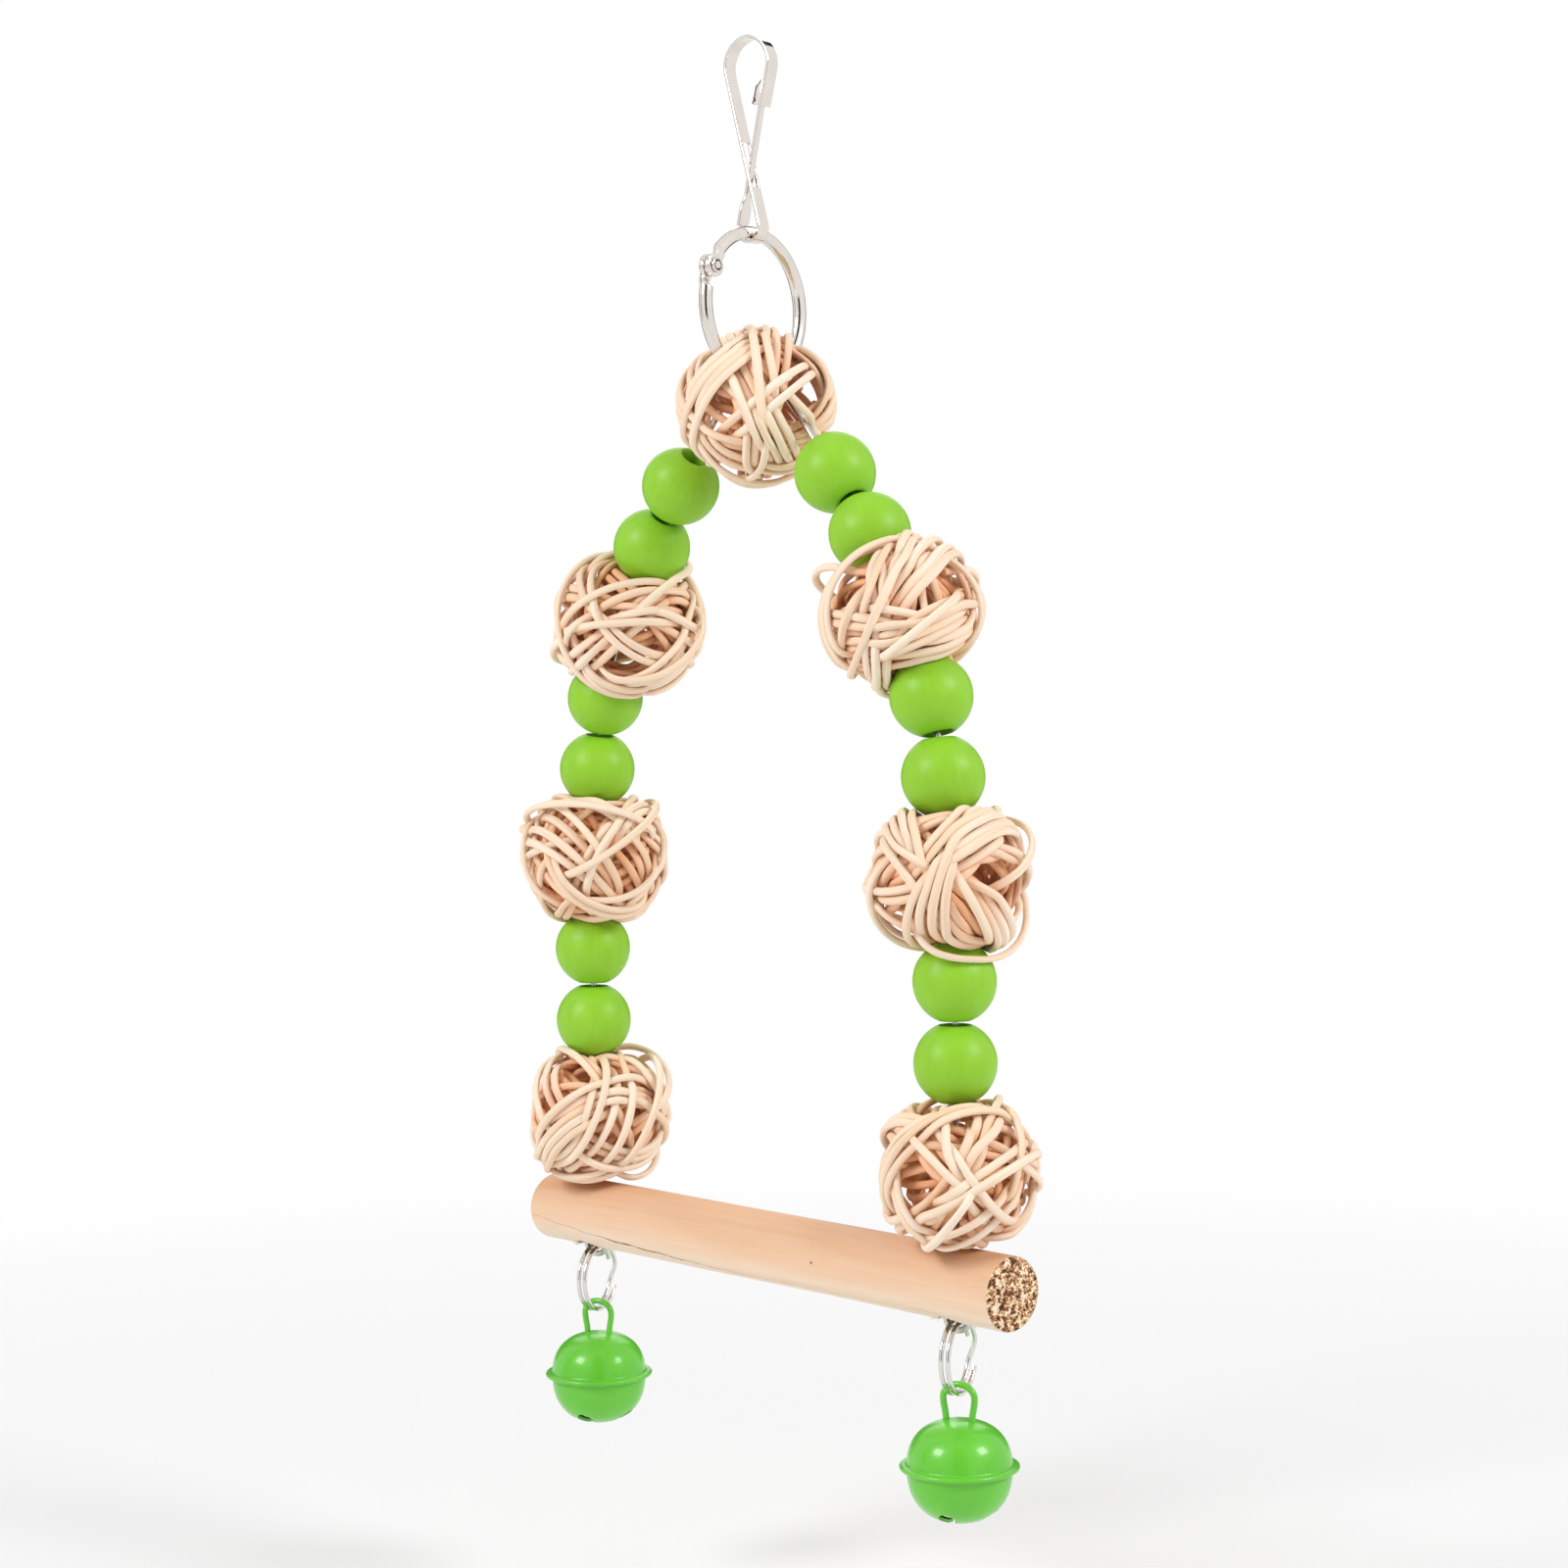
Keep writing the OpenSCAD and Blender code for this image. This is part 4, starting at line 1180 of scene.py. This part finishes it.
def make_splinters():
    """Torn fibres round each pocket under the perch, where the split rings leave room for them."""
    rng = np.random.default_rng(SPLINTER_SEED)
    parts = []
    mouth = POCKET_D / 2 + SPLINTER_OUT
    for x in (-LEG_X, LEG_X):
        for _ in range(SPLINTERS):
            a = rng.uniform(0, 2 * pi)
            clear = cos(a - radians(SPLIT_TURN))
            if abs(clear) < RING_ROOM:
                continue
            px, py = x + mouth * cos(a), mouth * sin(a)
            foot = np.array([px, py, perch_z - sqrt((PERCH_D / 2) ** 2 - py ** 2) + SPLINTER_ROOT])
            grain = np.sign(clear) * rng.uniform(0.5, 1)
            way = unit(np.array([grain, rng.normal() * 0.2, -rng.uniform(0.1, 0.6)]))
            length = rng.uniform(*SPLINTER_L)
            thick = rng.uniform(*SPLINTER_R)
            side = unit(np.cross(way, [0, 0, 1]))
            up = np.cross(side, way)
            rings = []
            for s, size in SPLINTER_TAPER:
                centre = foot + way * length * (s - 0.3) + [0, 0, 0.1 * s * s]
                rings.append(circle_ring(centre, side, up, thick * size, thick * size * 0.6, 6))
            parts.append(rings)
    piece = add_swept("perch_splinters", parts)
    count = len(piece.data.vertices)
    store(piece, "end_grain", np.zeros(count))
    for name, value in zip(CRACK_MARKS, NO_CRACK):
        store(piece, name, np.full(count, value))
    dress(piece, "arch", perch_wood, [])


# Split rings and bells


# Half of the angle in which a split ring's turns cross over, in degrees
HALF_CROSS = 25.0
# Radius of the small hole at a shell's pole, and the power of its curve: 1 is an ellipse, less is fuller
POLE_R = 0.02
FULLNESS = 0.85
# The loop's feet inside the dome: how deep they lie, how far they reach out and their bend's radius
FOOT_DEPTH = 2.2
FOOT_L = 2.0
FOOT_BEND = 0.9
# Height at which the pellet is pressed flat, as a share of its radius
PELLET_FLAT = 0.985
# Edge of each shell at the seam: steps out from the body or in from the rim, and heights
UPPER_FOOT = ((0.0, 0.82), (0.06, 0.66), (0.2, 0.54), (0.42, 0.5))
UPPER_CURL = ((0.62, -0.4), (0.72, -0.33), (0.66, -0.24), (0.3, -0.14), (0.3, 0.0))
LOWER_FOOT = ((0.0, -0.6), (0.08, -0.44), (0.24, -0.34))
LOWER_EDGE = ((0.78, -0.3), (0.34, -0.12), (0.34, -0.02))
BOX_FACES = ((3, 2, 1, 0), (4, 5, 6, 7), (0, 1, 5, 4), (1, 2, 6, 5), (2, 3, 7, 6), (3, 0, 4, 7))


def make_split_ring(side, way):
    """Split ring of two flat turns joined by a short crossing, with square-cut ends."""
    name = f"split_ring_{side}"
    centre = np.array([way * LEG_X, 0, split_z])
    r = (SPLIT_OD - SPLIT_WIRE) / 2
    steps = 150
    path = []
    for a in HALF_CROSS + np.arange(steps + 1) / steps * (360 + 2 * (180 - HALF_CROSS)):
        d = direction(a)
        crossed = max(-1, min(1, (a - 360) / HALF_CROSS))
        step = SPLIT_PITCH / 2 * sin(radians(90 * crossed))
        path.append(centre + r * (d[0] * turn_side + d[1] * UP) + step * turn_flat)
    piece = add_tube(name + "_coil", path, turn_flat, SPLIT_WIRE / 2)
    dress(piece, name, ring_steel, [name])


def shell_curve(r, h, way, seam=-1.0):
    """Curve of a bell shell from its pole towards its seam, as [radius, height]."""
    angles = [radians(90 * i / 26) for i in range(27)]
    curve = [(r * sin(a) ** FULLNESS, h * max(cos(a), 0) ** FULLNESS) for a in angles]
    curve = [(x, way * z) for x, z in curve if z > seam]
    curve[0] = (POLE_R, way * h)
    return curve


def add_shell(name, centre, up, height, seam, edge):
    """Shell of a bell above its seam, where up is 1, or below it, where up is -1."""
    outer = shell_curve(BELL_D / 2, height, up, seam)
    inner = shell_curve(BELL_D / 2 - SHELL_T, height - SHELL_T, up)
    points, faces = lathe(outer + edge + inner[::-1], 72)
    points = oriented(points, centre, turn_flat, turn_side)
    if up > 0:
        return add_mesh(name, points, faces, 55)
    return add_mesh(name, points, [f[::-1] for f in faces])


def make_bell(side, way):
    """Jingle bell: a crimped upper shell over a slotted lower one."""
    r = BELL_D / 2
    rim = FLANGE_D / 2
    upper_h = BELL_H * DOME_SHARE
    lower_h = BELL_H - upper_h
    seam_z = place(f"bell_{side}_swing")[2] - LOOP_LEG - upper_h
    centre = np.array([way * LEG_X, 0, seam_z])
    crimp = [(r + x, z) for x, z in UPPER_FOOT] + [(rim - 0.5, 0.5)]
    crimp += [tuple(p) for p in arc_points((rim - 0.42, 0.02), 0.42, 78, -90, 9)]
    crimp += [(rim - x, z) for x, z in UPPER_CURL]
    piece = add_shell(f"bell_upper_shell_{side}_crimped", centre, 1, upper_h, 0.95, crimp)
    dress(piece, f"bell_{side}", enamel, [f"bell_upper_shell_{side}"])

    edge = [(r + x, z) for x, z in LOWER_FOOT] + [(rim - x, z) for x, z in LOWER_EDGE]
    piece = add_shell(f"bell_lower_shell_{side}_slotted", centre, -1, lower_h, 0.75, edge)
    reach = BELL_D * SLOT_SHARE / 2
    hole = [(SLOT_HOLE_D / 2, -BELL_H), (SLOT_HOLE_D / 2, -lower_h / 2)]
    for turn in (0, 90):
        d = direction(turn)
        for out in (-reach, reach):
            points, faces = lathe(hole, 28, (*(d * out), 0.0), closed=False)
            cut(piece, oriented(points, centre, turn_flat, turn_side), faces)
        long_way = np.array([*d, 0.0]) * reach
        wide_way = np.array([-d[1], d[0], 0.0]) * SLOT_W / 2
        corners = [sx * long_way + sy * wide_way + np.array([0, 0, z])
                   for z in (-BELL_H, -lower_h / 2) for sx, sy in ((-1, -1), (1, -1), (1, 1), (-1, 1))]
        cut(piece, oriented(np.array(corners), centre, turn_flat, turn_side), BOX_FACES)
    smooth(piece.data, 42)
    dress(piece, f"bell_{side}", enamel, [f"bell_lower_shell_{side}"])


def make_bell_loop(side, way):
    """Wire loop that stands on the bell's dome and bows a little outwards."""
    loop_z = place(f"bell_{side}_swing")[2]
    dome_z = loop_z - LOOP_LEG
    foot_z = dome_z - FOOT_DEPTH
    loop_r = (LOOP_W + LOOP_WIRE) / 2
    half_path = [np.array([loop_r + FOOT_L, foot_z]), np.array([loop_r + FOOT_BEND, foot_z])]
    half_path += arc_points((loop_r + FOOT_BEND, foot_z + FOOT_BEND), FOOT_BEND, 270, 180, 6)[1:]
    half_path += line_points(np.array([loop_r, foot_z + FOOT_BEND]), np.array([loop_r, loop_z]), 12)[1:]
    rise = [(p[1] - dome_z) / (loop_z - dome_z) for p in half_path]
    bow = LOOP_BOW * np.sin(np.clip(rise, 0, 1) * pi / 2) ** 2
    half_path = [p + np.array([out, 0]) for p, out in zip(half_path, bow)][:-1]
    arch = [p * [1 + LOOP_BOW / loop_r, 1] + [0, loop_z] for p in arc_points((0, 0), loop_r, 0, 180, 32)]
    flat = half_path + arch + [p * [-1, 1] for p in half_path[::-1]]
    path = [np.array([way * LEG_X, 0, z]) + x * turn_flat for x, z in flat]
    piece = add_tube(f"bell_loop_{side}_wire", path, turn_side, LOOP_WIRE / 2, 0.2)
    dress(piece, f"bell_{side}", enamel, [f"bell_loop_{side}"])


def make_pellet(side):
    """Loose steel ball inside the bell, with small flats from pressing."""
    name = f"bell_pellet_{side}"
    r = PELLET_D / 2
    profile = []
    for a in np.radians(np.linspace(0, 180, 25)):
        height = max(-PELLET_FLAT, min(PELLET_FLAT, cos(a)))
        profile.append((max(0.01, r * sin(a)), r * height))
    points, faces = lathe(profile, 36, middle_of(name), closed=False)
    piece = add_mesh(name + "_ball", points, faces, 60)
    dress(piece, f"pellet_{side}", pellet_steel, [name])


# Stage


CAMERA_PLACE = Vector((0.425, -0.3764, -0.1142))
CAMERA_TARGET = Vector((0.0031, 0.0034, -0.1339))
CAMERA_LENS = 69.5
CAMERA_ROLL = -0.7
FLOOR_DROP = 0.035
STAGE_Z = cad_box[0].z - FLOOR_DROP
FLOOR_HALF = 2.4
# Distances from the middle between which the floor fades to plain white
FADE = (0.3, 0.62)
WORLD_LIGHT = 0.55
# Lamps: steps towards the camera, to its right and up, then width, height and power
LAMPS = {
    "key_light": (0.36, -0.58, 0.4, 0.27, 0.27, 3.0),
    "fill_light": (0.34, 0.6, 0.4, 0.25, 0.25, 2.8),
    "back_light": (-0.6, 0.0, 0.4, 0.7, 0.4, 1.4),
}
# Cards: angle from the camera's side, and half of the angle that each fills, in degrees
CARDS = {
    "card_front": (0, 16),
    "card_side": (-89, 6),
    "card_back_left": (155, 20),
    "card_back_right": (-155, 20),
}
CARD_R = 1.1
CARD_TOP = 1.5
CARD_STEPS = 12


def make_camera():
    data = bpy.data.cameras.new("camera")
    data.sensor_width = 36.0
    data.lens = CAMERA_LENS
    data.clip_start = 0.01
    data.clip_end = 50.0
    camera = add_object("camera", data)
    look = (CAMERA_TARGET - CAMERA_PLACE).to_track_quat("-Z", "Y").to_matrix().to_4x4()
    look.translation = CAMERA_PLACE
    camera.matrix_world = look
    camera.rotation_euler.rotate_axis("Z", radians(CAMERA_ROLL))
    bpy.context.scene.camera = camera


def make_lamps():
    """Soft lamps that face the middle of the swing."""
    middle = Vector((0, 0, -0.13))
    toward = (CAMERA_PLACE - middle).normalized()
    right = Vector((-toward.y, toward.x, 0)).normalized()
    for name, (ahead, aside, up, width, height, power) in LAMPS.items():
        data = bpy.data.lights.new(name, "AREA")
        data.shape = "RECTANGLE"
        data.size = width
        data.size_y = height
        data.energy = power
        lamp = add_object(name, data)
        lamp.location = middle + toward * ahead + right * aside + Vector((0, 0, up))
        lamp.rotation_mode = "QUATERNION"
        lamp.rotation_quaternion = (middle - lamp.location).to_track_quat("-Z", "Y")


def add_stage(name, points, faces, material):
    """Stage piece, from points in metres."""
    mesh = bpy.data.meshes.new(name)
    mesh.from_pydata(points, [], faces)
    mesh.materials.append(material)
    piece = add_object(name, mesh)
    return piece


def make_cards():
    """Curved black studio cards that only show in shiny metal, as its dark streaks and edges.
    Behind the swing they leave a bright gap in the middle."""
    front = degrees(atan2(CAMERA_PLACE.y, CAMERA_PLACE.x))
    faces = [(2 * i, 2 * i + 2, 2 * i + 3, 2 * i + 1) for i in range(CARD_STEPS)]
    for name, (facing, half_angle) in CARDS.items():
        points = []
        for i in range(CARD_STEPS + 1):
            d = direction(front + facing + half_angle * (2 * i / CARD_STEPS - 1)) * CARD_R
            points.extend([(*d, STAGE_Z), (*d, CARD_TOP)])
        paint = Paint(name, Base_Color=(0.015, 0.014, 0.013, 1), Roughness=1.0)
        card = add_stage(name, points, faces, paint.material)
        card.visible_camera = False
        card.visible_diffuse = False
        card.visible_shadow = False


def white_when_seen(nodes, plain, seen_as, output):
    """Shader that is plain for the light in the scene, and seen_as to the lens and in mirrors."""
    path = nodes.node("LightPath")
    seen = path.outputs["Is Camera Ray"]
    for name in ("Is Glossy Ray", "Is Transmission Ray"):
        seen = nodes.node("Math", {0: seen, 1: path.outputs[name]}, operation="MAXIMUM").outputs[0]
    mix = nodes.node("MixShader", {0: seen, 1: plain, 2: seen_as})
    nodes.give(mix.outputs[0], nodes.tree.nodes[output].inputs["Surface"])


def make_world():
    """Soft light from all sides, plain white where it is seen."""
    world = bpy.data.worlds.new("studio")
    bpy.context.scene.world = world
    world.use_nodes = True
    nodes = Nodes(world.node_tree)
    plain = nodes.tree.nodes["Background"]
    plain.inputs["Color"].default_value = WHITE
    plain.inputs["Strength"].default_value = WORLD_LIGHT
    white = nodes.node("Background", {"Color": WHITE, "Strength": 1.0})
    white_when_seen(nodes, plain.outputs[0], white.outputs[0], "World Output")


def make_floor():
    """Pale floor below the hanging swing: shadowed near it, and plain white far away."""
    p = Paint("floor_paper", Base_Color=(0.86, 0.86, 0.86, 1), Roughness=0.9, Specular_IOR_Level=0.1)
    from_middle = p.node("VectorMath", {0: p.place()}, operation="LENGTH").outputs["Value"]
    far = p.range(from_middle, *FADE, 0.0, 1.0)
    paper = p.shader.outputs[0]
    white = p.node("Emission", {"Color": WHITE})
    faded = p.node("MixShader", {0: far, 1: paper, 2: white.outputs[0]})
    white_when_seen(p, paper, faded.outputs[0], "Material Output")
    corners = [(x * FLOOR_HALF, y * FLOOR_HALF, STAGE_Z) for x, y in ((-1, -1), (1, -1), (1, 1), (-1, 1))]
    add_stage("floor", corners, [(0, 1, 2, 3)], p.material)


make_camera()
make_lamps()
make_cards()
make_world()
make_floor()

make_hook_body()
make_gate()
make_ring_half("ring_upper", 1)
make_ring_half("ring_lower", -1)
make_rivet()
make_arch_wire()
make_perch()
make_splinters()
for side, way in SIDES.items():
    for number in range(1, 7):
        make_bead(side, number)
    for number in range(1, 4):
        make_leg_ball(side, number)
    make_split_ring(side, way)
    make_bell(side, way)
    make_bell_loop(side, way)
    make_pellet(side)
make_top_ball()

bpy.context.scene.view_settings.view_transform = "Standard"
